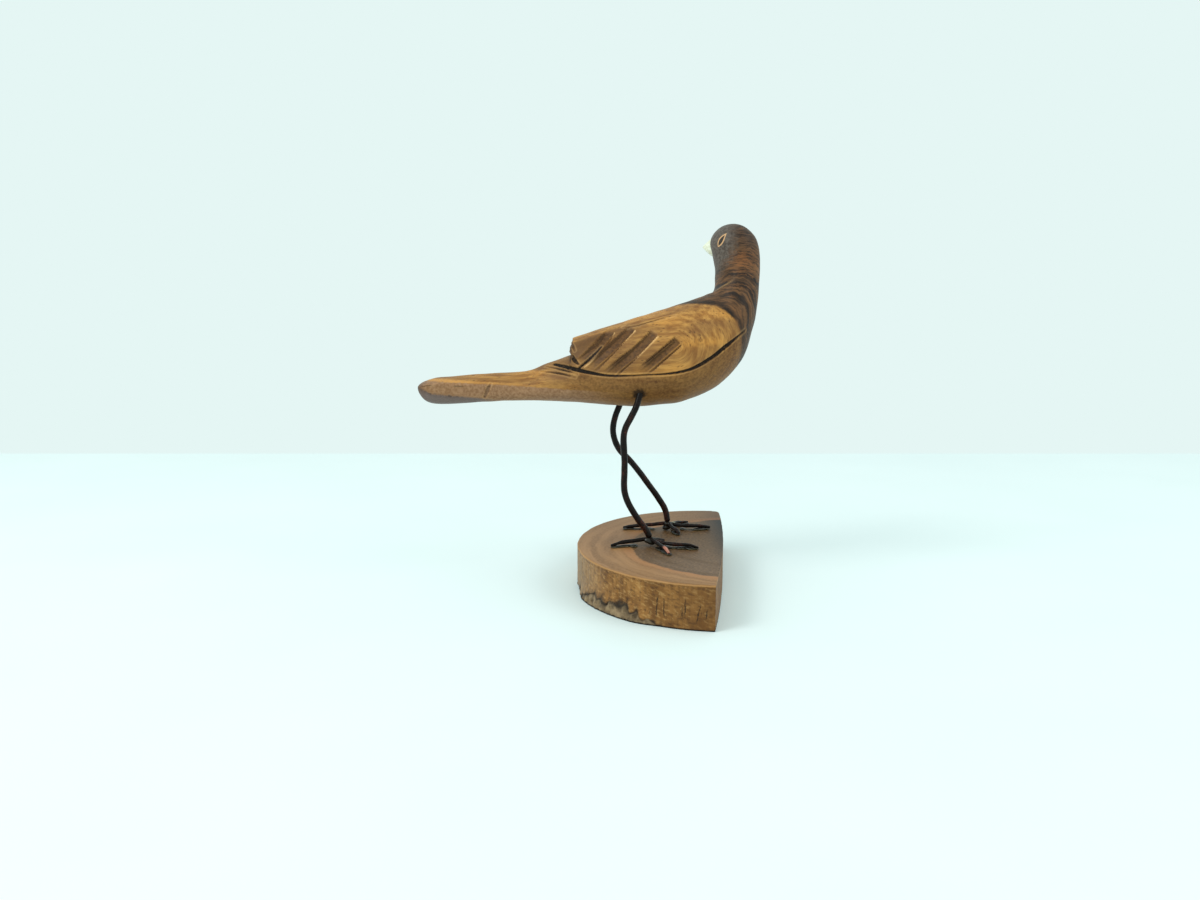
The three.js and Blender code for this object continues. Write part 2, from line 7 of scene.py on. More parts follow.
import bpy
import numpy as np
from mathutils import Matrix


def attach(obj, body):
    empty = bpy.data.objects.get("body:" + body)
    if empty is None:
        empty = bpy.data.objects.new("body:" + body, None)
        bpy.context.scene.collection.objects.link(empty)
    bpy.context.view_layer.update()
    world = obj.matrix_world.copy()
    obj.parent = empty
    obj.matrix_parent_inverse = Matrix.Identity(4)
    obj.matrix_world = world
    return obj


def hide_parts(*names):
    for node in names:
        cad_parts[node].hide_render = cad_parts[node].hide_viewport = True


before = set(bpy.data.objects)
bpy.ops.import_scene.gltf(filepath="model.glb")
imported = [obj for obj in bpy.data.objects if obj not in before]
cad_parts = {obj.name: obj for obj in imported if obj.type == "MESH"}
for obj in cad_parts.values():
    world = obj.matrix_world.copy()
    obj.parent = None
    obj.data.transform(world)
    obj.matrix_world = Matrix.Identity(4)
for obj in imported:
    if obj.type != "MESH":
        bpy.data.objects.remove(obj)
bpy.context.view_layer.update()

MM = 0.001
LOG = logging.getLogger("carved_bird")

Array = np.ndarray
Number = "Expression | float"


# Shader building


def linear(red: int, green: int, blue: int) -> tuple[float, float, float, float]:
    """Turn a display colour of 0 to 255 into the linear colour that a shader takes.

    Args:
        red: The display red.
        green: The display green.
        blue: The display blue.

    Returns:
        Linear red, green and blue with an alpha of 1.
    """
    shares = [value / 255 for value in (red, green, blue)]
    made = [s / 12.92 if s <= 0.04045 else ((s + 0.055) / 1.055) ** 2.4 for s in shares]
    return made[0], made[1], made[2], 1.0


class Expression:
    """One number socket of a shader, on which Python's operators add Math nodes."""

    def __init__(self, graph: "Graph", socket: bpy.types.NodeSocket) -> None:
        """Wrap a socket.

        Args:
            graph: The graph that new nodes go into.
            socket: The output socket that holds the number.
        """
        self.graph = graph
        self.socket = socket

    def math(self, operation: str, *values: "Number", clamp: bool = False) -> "Expression":
        """Add one Math node.

        Args:
            operation: The node's operation.
            *values: What goes into its sockets, in order.
            clamp: Whether the result is kept between 0 and 1.

        Returns:
            The node's result.
        """
        settings = {"operation": operation, "use_clamp": clamp}
        node = self.graph.node("ShaderNodeMath", settings, dict(enumerate(values)))
        return Expression(self.graph, node.outputs[0])

    def __add__(self, other: "Number") -> "Expression":
        """Return self + other."""
        return self.math("ADD", self, other)

    def __sub__(self, other: "Number") -> "Expression":
        """Return self - other."""
        return self.math("SUBTRACT", self, other)

    def __rsub__(self, other: "Number") -> "Expression":
        """Return other - self."""
        return self.math("SUBTRACT", other, self)

    def __mul__(self, other: "Number") -> "Expression":
        """Return self * other."""
        return self.math("MULTIPLY", self, other)

    def __truediv__(self, other: "Number") -> "Expression":
        """Return self / other."""
        return self.math("DIVIDE", self, other)

    def __pow__(self, power: "Number") -> "Expression":
        """Return self raised to a power."""
        return self.math("POWER", self, power)

    def __abs__(self) -> "Expression":
        """Return self without its sign."""
        return self.math("ABSOLUTE", self)

    __radd__ = __add__
    __rmul__ = __mul__

    def at_least(self, low: "Number") -> "Expression":
        """Return the larger of self and low."""
        return self.math("MAXIMUM", self, low)

    def at_most(self, high: "Number") -> "Expression":
        """Return the smaller of self and high."""
        return self.math("MINIMUM", self, high)

    def root(self) -> "Expression":
        """Return the square root of self."""
        return self.math("SQRT", self)

    def sine(self) -> "Expression":
        """Return the sine of self, in radians."""
        return self.math("SINE", self)

    def rises(self, low: float, high: float) -> "Expression":
        """Return 0 below low and 1 above high, with a straight ramp between them.

        Args:
            low: Where the ramp starts.
            high: Where the ramp ends.

        Returns:
            The ramp, kept between 0 and 1.
        """
        return self.math("MULTIPLY_ADD", self, 1 / (high - low), -low / (high - low), clamp=True)

    def falls(self, low: float, high: float) -> "Expression":
        """Return 1 below low and 0 above high, with a straight ramp between them."""
        return 1 - self.rises(low, high)

    def peak(self, middle: float, reach: float) -> "Expression":
        """Return 1 at a middle value, falling straight to 0 at a reach to either side of it."""
        return abs(self - middle).falls(0.0, reach)


@dataclass(frozen=True)
class Place:
    """Where a shader looks on the object.

    Attributes:
        x: The point's x, in mm.
        y: The point's y, in mm.
        z: The point's z, in mm.
        where: The three as a vector.
        noise: Cloudy noise of about a millimetre there.
    """

    x: Expression
    y: Expression
    z: Expression
    where: bpy.types.NodeSocket
    noise: Expression


@dataclass
class Graph:
    """The node tree of one material.

    Attributes:
        tree: The material's node tree.
    """

    tree: bpy.types.NodeTree

    def node(self, kind: str, settings: dict | None = None, values: dict | None = None) -> bpy.types.Node:
        """Add a node.

        Args:
            kind: The node's type name.
            settings: Attributes of the node, which are set first.
            values: Socket name or number to a value, a socket or an expression.

        Returns:
            The new node.
        """
        node = self.tree.nodes.new(kind)
        for name, value in (settings or {}).items():
            setattr(node, name, value)
        for name, value in (values or {}).items():
            socket = node.inputs[name]
            if isinstance(value, Expression):
                self.tree.links.new(value.socket, socket)
            elif isinstance(value, bpy.types.NodeSocket):
                self.tree.links.new(value, socket)
            else:
                socket.default_value = value
        return node

    def place(self) -> tuple[Expression, Expression, Expression]:
        """Return the point's x, y and z on the object, in millimetres."""
        where = self.node("ShaderNodeTexCoord").outputs["Object"]
        scaled = self.node("ShaderNodeVectorMath", {"operation": "SCALE"}, {0: where, "Scale": 1 / MM})
        parts = self.node("ShaderNodeSeparateXYZ", values={0: scaled.outputs[0]})
        return tuple(Expression(self, output) for output in parts.outputs)

    def point(self) -> Place:
        """Return the place that the shader looks at, with noise for every finish to share."""
        x, y, z = self.place()
        where = self.vector(x, y, z)
        return Place(x, y, z, where, self.noise(where, 0.9, 4.0))

    def vector(self, x: "Number", y: "Number", z: "Number") -> bpy.types.NodeSocket:
        """Return a vector made of three numbers."""
        return self.node("ShaderNodeCombineXYZ", values={0: x, 1: y, 2: z}).outputs[0]

    def noise(self, where: bpy.types.NodeSocket, scale: float = 1.0, detail: float = 2.0) -> Expression:
        """Add cloudy noise.

        Args:
            where: The vector that the noise is read at.
            scale: How many clouds a unit of the vector holds.
            detail: How many finer layers are added.

        Returns:
            The noise, about 0.5 in the middle.
        """
        values = {"Vector": where, "Scale": scale, "Detail": detail}
        return Expression(self, self.node("ShaderNodeTexNoise", values=values).outputs[0])

    def cells(self, where: bpy.types.NodeSocket, scale: float = 1.0) -> Expression:
        """Return the distance to the nearest of many scattered points, in units of the vector times scale."""
        node = self.node("ShaderNodeTexVoronoi", values={"Vector": where, "Scale": scale})
        return Expression(self, node.outputs["Distance"])

    def painted(self, name: str) -> Expression:
        """Return the number that the mesh carries under a name."""
        return Expression(self, self.node("ShaderNodeAttribute", {"attribute_name": name}).outputs["Fac"])

    def mix(self, share: "Number", under: object, over: object, way: str = "MIX") -> bpy.types.NodeSocket:
        """Lay one colour over another.

        Args:
            share: How much of the upper colour shows.
            under: The lower colour or colour socket.
            over: The upper colour or colour socket.
            way: The blend type.

        Returns:
            The mixed colour.
        """
        settings = {"data_type": "RGBA", "blend_type": way, "clamp_factor": True}
        return self.node("ShaderNodeMix", settings, {0: share, 6: under, 7: over}).outputs[2]

    def bump(self, height: Expression, strength: float = 1.0) -> bpy.types.NodeSocket:
        """Return the normal of a surface with that relief, whose height is in millimetres."""
        values = {"Height": height, "Strength": strength, "Distance": MM}
        return self.node("ShaderNodeBump", values=values).outputs[0]

    def surface(self, **values: object) -> None:
        """Finish the material with a Principled shader.

        Args:
            **values: Socket names, with an underscore for each space, and their values.
        """
        named = {name.replace("_", " "): value for name, value in values.items()}
        shader = self.node("ShaderNodeBsdfPrincipled", values=named)
        self.node("ShaderNodeOutputMaterial", values={"Surface": shader.outputs[0]})


class Finish:
    """A surface finish, which makes its material once."""

    name = "finish"

    def paint(self, graph: Graph) -> None:
        """Build the finish in an empty graph."""
        raise NotImplementedError

    def material(self) -> bpy.types.Material:
        """Return the finish as a material."""
        made = bpy.data.materials.get(self.name)
        if made is None:
            made = bpy.data.materials.new(self.name)
            made.use_nodes = True
            made.node_tree.nodes.clear()
            self.paint(Graph(made.node_tree))
        return made


@dataclass(frozen=True)
class CarvedWoodFinish(Finish):
    """Oiled wood of the bird: golden sapwood, dark banded heartwood, pores, a knot and grimy cuts
    with painted shade in their corners and painted highlights on their edges.

    Attributes:
        name: The material's name.
        shoulder: The x and z that the grain and the sapwood's edge bend round, in mm.
        sapwood_radius: The distance from there to the sapwood's edge, in mm.
        knot: The x and z of the small knot, in mm.
        leg_holes: The mouths of the two holes for the legs, in mm.
    """

    name: str = "oiled_wood"
    shoulder: tuple[float, float] = (19.0, 109.0)
    sapwood_radius: float = 19.4
    knot: tuple[float, float] = (19.0, 111.8)
    leg_holes: tuple[tuple[float, float, float], ...] = ((-7.5, -3.6, 88.0), (-13.8, 26.8, 86.4))

    def sapwood(self, graph: Graph, point: Place) -> tuple[bpy.types.NodeSocket, Expression]:
        """Return the sapwood's colour and relief.

        The grain runs along the bird and bends round the shoulder: streaks and fibres are noise
        stretched along it, and the pores are short dashes that lie in it.
        """
        x, y, z = point.x, point.y, point.z
        past, above = (x - 8.0).at_least(0.0), z - self.shoulder[1]
        across = (past * past + above * above).root()
        along = x - 0.5 * z
        streaks = graph.noise(graph.vector(along * 0.06, y * 0.35 + z * 0.1, across * 0.5), 1.0, 4.0)
        fibres = graph.noise(graph.vector(along * 0.25, y * 1.8, across * 3.0), 1.0, 3.0)
        colour = graph.mix(streaks.rises(0.36, 0.62), linear(136, 88, 40), linear(184, 132, 68))
        glow = graph.noise(graph.vector(along * 0.3, y, z), 0.12, 3.0)
        colour = graph.mix(glow.rises(0.5, 0.68) * 0.5, colour, linear(206, 142, 64))
        colour = graph.mix(glow.falls(0.34, 0.5) * 0.5, colour, linear(118, 80, 46))
        colour = graph.mix(fibres.falls(0.36, 0.5) * 0.4, colour, linear(98, 62, 30))
        zones = graph.noise(graph.vector(along * 0.08, y * 0.1 + 4.0, across * 0.35), 1.0, 2.0)
        pores = graph.cells(graph.vector(along * 0.28, y * 0.8, across * 0.85)).falls(0.12, 0.22)
        pores = pores * zones.rises(0.45, 0.56)
        colour = graph.mix(pores * 0.75, colour, linear(66, 40, 20))
        east, up = x - self.knot[0], z - self.knot[1]
        reach = (east * east * 0.5 + up * up).root() + glow * 2.0
        knot = reach.falls(1.6, 4.6) * (y - BODY_Y).falls(-6.0, 0.0)
        colour = graph.mix(knot * ((reach * 4.4).sine() * 0.25 + 0.3), colour, linear(92, 58, 28))
        return colour, fibres * 0.06 + streaks * 0.05 - pores * 0.08

    def worked(
        self, graph: Graph, point: Place, colour: bpy.types.NodeSocket
    ) -> bpy.types.NodeSocket:
        """Return the sapwood's colour with the tones of the carved areas laid over it.

        They are the flank under the wing, darker partly in its own tone and partly as painted shade
        where it faces down, the worked rear half of the wing, its smooth end panel, the tail's pinkish
        side facet with a painted highlight along its edge, the grey strip below it and the tip, darkened
        by painted shade where its rounded end turns away.
        """
        x, z, noise = point.x, point.z, point.noise
        wing_edge = 96.6 + 0.0142 * (x - 2.0).at_least(0.0) ** 2.0
        # The flank under the wing is darker, partly its own tone and partly painted shade where it faces
        # down.
        below = (wing_edge - z).rises(-0.3, 1.0) * (x + 52.0).rises(0.0, 20.0)
        flank_tone_and_shade = graph.mix(noise.rises(0.4, 0.6), linear(82, 50, 22), linear(118, 80, 42))
        colour = graph.mix(below * 0.72, colour, flank_tone_and_shade)
        back = 123.9 + 0.34 * x
        rear = (4.0 - x).rises(0.0, 22.0) * (z - wing_edge).rises(0.2, 1.2) * (back - z).rises(0.8, 2.6)
        colour = graph.mix(rear * 0.58, colour, linear(102, 68, 36))
        left_of_cuts = ((z - 114.4) * 0.72 - (x + 23.6) * 0.69).rises(-0.8, 0.8)
        panel = left_of_cuts * (back - z).rises(0.9, 1.6) * (x + 39.0).rises(-0.5, 0.5)
        colour = graph.mix(panel * 0.75, colour, graph.mix(noise, linear(66, 38, 14), linear(112, 74, 36)))
        facet_edge = 92.5 - 0.05 * (x + 98.0).at_least(0.0)
        facet = (facet_edge - z + noise).rises(0.3, 0.9) * (x + 40.0).falls(0.0, 24.0)
        facet_colour = graph.mix(noise.rises(0.35, 0.65), linear(126, 90, 62), linear(156, 118, 88))
        colour = graph.mix(facet * 0.9, colour, facet_colour)
        # Painted highlight: a bright golden line along the edge of the tail's facet.
        lip_highlight = (facet_edge - z + noise).peak(0.0, 0.7) * (x + 70.0).falls(0.0, 24.0)
        colour = graph.mix(lip_highlight * 0.5, colour, linear(214, 152, 80))
        edge = 86.6 - 0.09 * (x + 99.0) + (-101.0 - x).at_least(0.0) * 0.35
        strip = (edge - z + noise).rises(0.0, 0.7) * (x + 80.0).falls(0.0, 9.0)
        colour = graph.mix(strip * 0.85, colour, linear(104, 92, 90))
        stain = (edge - z + noise * 2.0).peak(1.2, 1.3) * (x + 92.0).falls(0.0, 9.0)
        colour = graph.mix(stain * noise.rises(0.4, 0.6) * 0.9, colour, linear(74, 54, 42))
        # Painted shade: the tail's tip darkens where its rounded end turns from the light.
        tip = (x + noise * 3.0).falls(-105.6, -101.8)
        return graph.mix(tip * 0.7, colour, linear(88, 60, 42))

    def heartwood(self, graph: Graph, point: Place) -> bpy.types.NodeSocket:
        """Return the heartwood's colour.

        The ring distance is measured from a centre that moves forward as the neck rises, so that
        the bands arch over the neck, and noise along it makes them uneven. The hollow side of the
        neck is smooth and grey, and a russet patch lies high on the near side.
        """
        x, y, z, noise = point.x, point.y, point.z, point.noise
        across = x - 19.0 - ((z - 118.0) * 0.65).at_least(0.0).at_most(18.0)
        above = z - self.shoulder[1]
        ring = (0.9 * across * across + above * above).root() + 0.3 * y
        warp = graph.noise(point.where, 0.16, 3.0) * 3.6 + noise * 0.9
        wide = graph.noise(graph.vector(ring + warp, x * 0.06, y * 0.06), 0.62, 2.0)
        fine = graph.noise(graph.vector(ring + warp, x * 0.12, y * 0.12), 1.9, 2.0)
        colour = graph.mix(wide.rises(0.38, 0.58), linear(38, 25, 17), linear(106, 72, 44))
        colour = graph.mix(fine.falls(0.36, 0.52) * 0.7, colour, linear(38, 27, 21))
        colour = graph.mix(fine.rises(0.56, 0.7) * 0.45, colour, linear(138, 90, 52))
        east, up = x - 38.5, z - 146.5
        russet = (east * east * 0.6 + up * up).root() + noise * 7.0
        patch = russet.falls(5.0, 10.5) * fine.rises(0.36, 0.6)
        colour = graph.mix(patch * 0.62, colour, linear(138, 84, 46))
        crown = (z + noise * 3.0).rises(150.0, 156.0)
        crown_colour = graph.mix(fine.rises(0.35, 0.65), linear(42, 28, 20), linear(90, 64, 46))
        colour = graph.mix(crown * 0.8, colour, crown_colour)
        plain_edge = 25.0 + ((z - 136.0) * 0.66).at_least(0.0).at_most(9.0) + noise * 1.6
        plain = (x - plain_edge).falls(-3.4, 2.2) * z.rises(132.5, 136.5)
        plain_colour = graph.mix(noise.rises(0.4, 0.6), linear(76, 66, 60), linear(104, 93, 85))
        return graph.mix(plain * 0.9, colour, plain_colour)

    def past_sapwood(self, graph: Graph, point: Place) -> Expression:
        """Return how far a point lies past the sapwood's edge, in mm.

        It is the distance from a quarter plane behind and below the shoulder, less the sapwood's
        radius, a little more on the far side, with a wandering edge.
        """
        past = (point.x - self.shoulder[0]).at_least(0.0)
        above = (point.z - self.shoulder[1]).at_least(0.0)
        reach = (past * past + above * above).root() - self.sapwood_radius
        return reach + 0.12 * (point.y + 4.0) + graph.noise(point.where, 0.12, 3.0) * 3.0 - 1.5

    def paint(self, graph: Graph) -> None:
        """Build the wood: sapwood, heartwood, pores and knot, then what the cuts and holes carry."""
        point = graph.point()
        noise, where = point.noise, point.where
        colour, relief = self.sapwood(graph, point)
        colour = self.worked(graph, point, colour)
        past_edge = self.past_sapwood(graph, point)
        colour = graph.mix(past_edge.rises(-0.3, 0.5), colour, self.heartwood(graph, point))
        dark_line = (past_edge + noise * 1.6).peak(2.2, 1.9)
        colour = graph.mix(dark_line * 0.8, colour, linear(30, 20, 14))
        line, fill = self.eye_lines(point)
        colour = graph.mix(fill * 0.75, colour, linear(34, 26, 21))
        colour = graph.mix(line, colour, linear(206, 160, 116))
        channel = graph.painted("channel")
        floor = graph.mix(noise.rises(0.35, 0.65), linear(62, 36, 14), linear(102, 66, 32))
        colour = graph.mix(channel * 0.86, colour, floor)
        # Painted highlight on the cuts' lit edges, the gouges' rims and the neck's crest.
        colour = graph.mix(graph.painted("worn") * 0.85, colour, linear(222, 172, 112))
        # Dark residue in the cuts, with painted shade in their corners and grooves and along the broken end.
        grime = (graph.painted("grime") * (0.7 + 0.6 * noise)).at_most(1.0)
        colour = graph.mix(grime, colour, linear(26, 15, 8))
        for hole_x, hole_y, hole_z in self.leg_holes:
            gap = ((point.x - hole_x) ** 2.0 + (point.y - hole_y) ** 2.0 + (point.z - hole_z) ** 2.0).root()
            colour = graph.mix((gap + noise * 1.6).falls(3.1, 4.5) * 0.85, colour, linear(26, 16, 10))
        relief = relief + noise * 0.05 - line * 0.12
        graph.surface(
            Base_Color=colour, Roughness=0.42 + 0.2 * noise + grime * 0.2, Normal=graph.bump(relief),
            Specular_IOR_Level=0.22,
        )

    def eye_lines(self, point: Place) -> tuple[Expression, Expression]:
        """Return the line and the inside of both incised eyes, each 0 to 1.

        A point is laid out along and across the eye's lean. The almond's half width there is a
        parabola that is fuller towards the beak, and the line is where the point lies on it.
        """
        x, y, z = point.x, point.y, point.z
        line: Number = 0.0
        fill: Number = 0.0
        for eye in EYES:
            dx, dy, dz = x - eye.middle[0], y - eye.middle[1], z - eye.middle[2]
            along = dx * eye.axis[0] + dy * eye.axis[1] + dz * eye.axis[2]
            over = dx * eye.bow[0] + dy * eye.bow[1] + dz * eye.bow[2]
            out = dx * eye.out[0] + dy * eye.out[1] + dz * eye.out[2]
            share = along / eye.half_length
            bow = eye.half_width * (1.0 - share * share) * (1.0 - 0.2 * share)
            inside = bow - abs(over)
            here = out.rises(-4.0, -3.0)
            line = inside.rises(-0.12, 0.06) * inside.falls(0.52, 0.7) * here + line
            fill = inside.rises(0.45, 0.65) * here + fill
        return line.at_most(1.0), fill.at_most(1.0)


@dataclass(frozen=True)
class Eye:
    """One incised eye.

    Attributes:
        middle: Its middle on the skin, in mm.
        axis: The direction of its length.
        bow: The direction of its width.
        out: The direction off the head.
        half_length: Half its length, in mm.
        half_width: Half its width, in mm.
    """

    middle: tuple[float, float, float]
    axis: tuple[float, float, float]
    bow: tuple[float, float, float]
    out: tuple[float, float, float]
    half_length: float = 3.6
    half_width: float = 1.5


def direction(azimuth: float, dip: float = 0.0) -> Array:
    """Return the unit vector at an azimuth in degrees, from +X towards +Y, with a dip below level."""
    a, d = math.radians(azimuth), math.radians(dip)
    return np.array([math.cos(a) * math.cos(d), math.sin(a) * math.cos(d), -math.sin(d)])


@dataclass(frozen=True)
class PaleHornFinish(Finish):
    """Cream horn of the beak, a little darker at the root, with faint streaks along it."""

    name: str = "pale_horn"

    def paint(self, graph: Graph) -> None:
        """Build the horn from streaks that run along the beak and a warm shade near the root."""
        x, y, z = graph.place()
        along = x * float(direction(137.0)[0]) + y * float(direction(137.0)[1])
        streaks = graph.noise(graph.vector(along * 0.15, x * 0.7 + y * 0.7, z * 1.4), 1.0, 3.0)
        colour = graph.mix(streaks.rises(0.35, 0.65), linear(218, 214, 184), linear(236, 236, 216))
        root = along.falls(-8.0, -3.5)
        colour = graph.mix(root * 0.25, colour, linear(190, 178, 140))
        relief = streaks * 0.05
        graph.surface(
            Base_Color=colour, Roughness=0.3 + 0.15 * streaks, Normal=graph.bump(relief),
            Specular_IOR_Level=0.4,
        )


@dataclass(frozen=True)
class CoatedWireFinish(Finish):
    """Brown-black coating over copper wire, thin and reddish on the bends and bare at one toe."""

    name: str = "coated_wire"

    def paint(self, graph: Graph) -> None:
        """Build the coating from a dark film, reddish thin places and bare copper."""
        x, y, z = graph.place()
        where = graph.vector(x, y, z)
        patches = graph.noise(graph.vector(x * 0.5, y * 0.5, z * 0.2), 0.6, 3.0)
        specks = graph.noise(where, 1.6, 3.0)
        colour = graph.mix(specks.rises(0.4, 0.65), linear(8, 5, 4), linear(28, 16, 12))
        thin = patches.rises(0.52, 0.66) * specks.rises(0.4, 0.6)
        colour = graph.mix(thin * 0.5, colour, linear(92, 42, 28))
        bare = (graph.painted("bare") * (0.4 + 1.2 * specks)).at_most(1.0).rises(0.45, 0.75)
        colour = graph.mix(bare, colour, linear(206, 134, 112))
        relief = specks * 0.12 + graph.noise(where, 0.5, 2.0) * 0.1
        graph.surface(
            Base_Color=colour, Roughness=0.2 + 0.26 * specks, Metallic=0.7 * bare, Normal=graph.bump(relief),
            Specular_IOR_Level=0.14,
        )


@dataclass(frozen=True)
class DriedGlueFinish(Finish):
    """Dark glossy glue, pale and greenish where it runs thin over the base.

    Attributes:
        name: The material's name.
        pale: How far the glue's own colour gives way to a pale one, 0 to 1.
    """

    name: str = "dried_glue"
    pale: float = 0.0

    def paint(self, graph: Graph) -> None:
        """Build the glue: thin edges low on the base are pale, lumps are dark."""
        x, y, z = graph.place()
        where = graph.vector(x, y, z)
        clouds = graph.noise(where, 0.7, 3.0)
        thin = (z + clouds * 0.5).falls(19.65, 20.05)
        colour = graph.mix(clouds.rises(0.4, 0.6), linear(12, 9, 7), linear(32, 26, 18))
        colour = graph.mix(thin * clouds.rises(0.38, 0.55) * 0.7, colour, linear(116, 112, 82))
        colour = graph.mix(self.pale, colour, linear(186, 188, 156))
        graph.surface(
            Base_Color=colour, Roughness=0.18 + 0.25 * clouds, Normal=graph.bump(clouds * 0.3),
            Specular_IOR_Level=0.35,
        )


@dataclass(frozen=True)
class LogSliceFinish(Finish):
    """Sawn and oiled slice of half a log: pinkish sapwood, a dark heart, rings and a bark side.

    Attributes:
        name: The material's name.
        pith: The x and y that the growth rings close round, in mm.
        heart_reach: How far the dark heart reaches from the pith along X and Y, in mm.
        thickness: The slice's height, in mm.
        cracks: The cracks of the near side as x at the top, x at the foot, low and high z, in mm.
        feet: The x and y of the glue-stained places under the feet, in mm.
    """

    name: str = "sawn_log"
    pith: tuple[float, float] = (36.0, -6.0)
    heart_reach: tuple[float, float] = (47.0, 53.0)
    thickness: float = 19.0
    cracks: tuple[tuple[float, float, float, float], ...] = (
        (-1.8, -2.5, 3.9, 13.6), (0.5, 0.7, 4.4, 12.7), (8.9, 8.8, 6.0, 13.4), (7.6, 7.6, 4.6, 10.4),
        (14.8, 13.4, 3.4, 11.4), (17.6, 17.0, 4.9, 9.9), (-13.9, -13.9, 5.4, 9.8),
    )
    feet: tuple[tuple[float, float], ...] = ((-6.0, 6.0), (4.0, 16.0))

    def top(self, graph: Graph, point: Place) -> bpy.types.NodeSocket:
        """Return the colour of the sawn top.

        Rings are a wave of the distance to the pith, in shares of the heart's reach. The heart is
        dark inside one such share and greyer towards the sawn side, partly its own grey-brown and
        partly a painted sheen, and the far end of the slice is browner.
        """
        x, y, noise = point.x, point.y, point.noise
        east, north = (x - self.pith[0]) / self.heart_reach[0], (y - self.pith[1]) / self.heart_reach[1]
        wander = graph.noise(graph.vector(x, y, 0.0), 0.07, 4.0)
        reach = (east * east + north * north).root() + wander * 0.16 - 0.08
        rings = (reach * 150.0 + noise).sine() * 0.5 + 0.5
        broad = graph.noise(graph.vector(reach * 14.0, x * 0.02, y * 0.02), 1.0, 3.0)
        colour = graph.mix(broad.rises(0.36, 0.64), linear(116, 82, 52), linear(154, 114, 78))
        colour = graph.mix(rings * 0.2, colour, linear(118, 84, 54))
        colour = graph.mix(noise.falls(0.36, 0.5) * 0.35, colour, linear(100, 70, 46))
        far = y.rises(-24.0, 26.0)
        colour = graph.mix(far * 0.4, colour, linear(108, 78, 54))
        corner = x.rises(2.0, 24.0) * y.rises(24.0, 44.0)
        colour = graph.mix(corner * 0.55, colour, linear(84, 62, 48))
        band = (reach + noise * 0.05).peak(1.06, 0.09)
        colour = graph.mix(band * 0.4, colour, linear(158, 96, 56))
        heart = graph.mix(noise.rises(0.38, 0.62), linear(22, 15, 12), linear(46, 36, 31))
        # The grey patches on the heart are partly its own grey-brown and partly a painted sheen of its gloss.
        heart = graph.mix(y.falls(-46.0, 6.0) * broad.rises(0.3, 0.6) * 0.6, heart, linear(96, 82, 74))
        heart = graph.mix(rings * 0.18, heart, linear(32, 22, 19))
        colour = graph.mix((reach + noise * 0.012).falls(0.995, 1.012), colour, heart)
        for foot_x, foot_y in self.feet:
            gap = (((x - foot_x) * 0.6) ** 2.0 + (y - foot_y) ** 2.0).root() + noise * 12.0
            colour = graph.mix(gap.falls(8.0, 19.0) * 0.6, colour, linear(40, 28, 22))
        return colour

    def side(self, graph: Graph, point: Place) -> bpy.types.NodeSocket:
        """Return the colour of the wall: gold, streaked, scuffed and cracked, with bark at its foot.

        A crack is where a point's x comes near a slanted line that wavers with noise.
        """
        x, y, z, noise = point.x, point.y, point.z, point.noise
        streaks = graph.noise(graph.vector(x * 0.7, y * 0.7, z * 0.12), 1.0, 4.0)
        scuffs = graph.noise(graph.vector(x * 0.5 + z * 0.5, y * 0.5, z * 0.9), 0.8, 4.0)
        clouds = graph.noise(point.where, 0.09, 3.0)
        mottle = graph.noise(point.where, 0.3, 5.0)
        colour = graph.mix(clouds.rises(0.36, 0.64), linear(118, 76, 32), linear(156, 108, 54))
        colour = graph.mix(streaks.falls(0.38, 0.54) * 0.45, colour, linear(94, 60, 28))
        colour = graph.mix(scuffs.rises(0.54, 0.66) * 0.5, colour, linear(190, 146, 88))
        colour = graph.mix(scuffs.falls(0.34, 0.44) * 0.6, colour, linear(70, 44, 22))
        colour = graph.mix(x.rises(-8.0, 20.0) * 0.45, colour, linear(92, 56, 22))
        pale = x.falls(-34.0, -22.0)
        pale_colour = graph.mix(streaks, linear(112, 88, 64), linear(186, 158, 124))
        colour = graph.mix(pale * 0.55, colour, pale_colour)
        ticks = graph.noise(graph.vector(x * 1.3, y * 1.3, z * 0.22), 1.0, 2.0)
        broken = graph.noise(graph.vector(x * 0.2, y * 0.2, z * 0.3), 1.0, 2.0).rises(0.5, 0.6)
        colour = graph.mix(ticks.peak(0.5, 0.022) * broken * 0.7, colour, linear(40, 26, 14))
        bark = graph.mix(mottle.rises(0.34, 0.62), linear(78, 60, 40), linear(150, 124, 92))
        colour = graph.mix(graph.painted("bark"), colour, bark)
        near = y.falls(-30.0, -20.0)
        for top_x, foot_x, low, high in self.cracks:
            slope = (top_x - foot_x) / (high - low)
            gap = abs(x - foot_x - (z - low) * slope + noise * 1.2 - 0.6)
            here = z.rises(low - 0.4, low + 1.2) * z.falls(high - 2.0, high + 0.4) * near
            colour = graph.mix(gap.falls(0.08, 0.34) * here * 0.85, colour, linear(34, 22, 12))
        return colour

    def paint(self, graph: Graph) -> None:
        """Build the slice: its top and its wall, the rim between them with a painted highlight, dirt
        with painted shade along the bark's edge, and the black foot.
        """
        point = graph.point()
        z, noise = point.z, point.noise
        on_side = z.falls(self.thickness - 0.62, self.thickness - 0.36)
        colour = graph.mix(on_side, self.top(graph, point), self.side(graph, point))
        # Painted highlight along the rounded top rim.
        lip_highlight = (z + noise * 0.5).peak(self.thickness - 0.1, 0.5) * (1.0 - graph.painted("bark"))
        colour = graph.mix(lip_highlight * point.x.falls(24.0, 34.0) * 0.5, colour, linear(206, 150, 88))
        under_lip = (z + noise * 1.4).peak(self.thickness - 0.6, 0.7)
        colour = graph.mix(under_lip * noise.rises(0.4, 0.56) * 0.6, colour, linear(84, 52, 26))
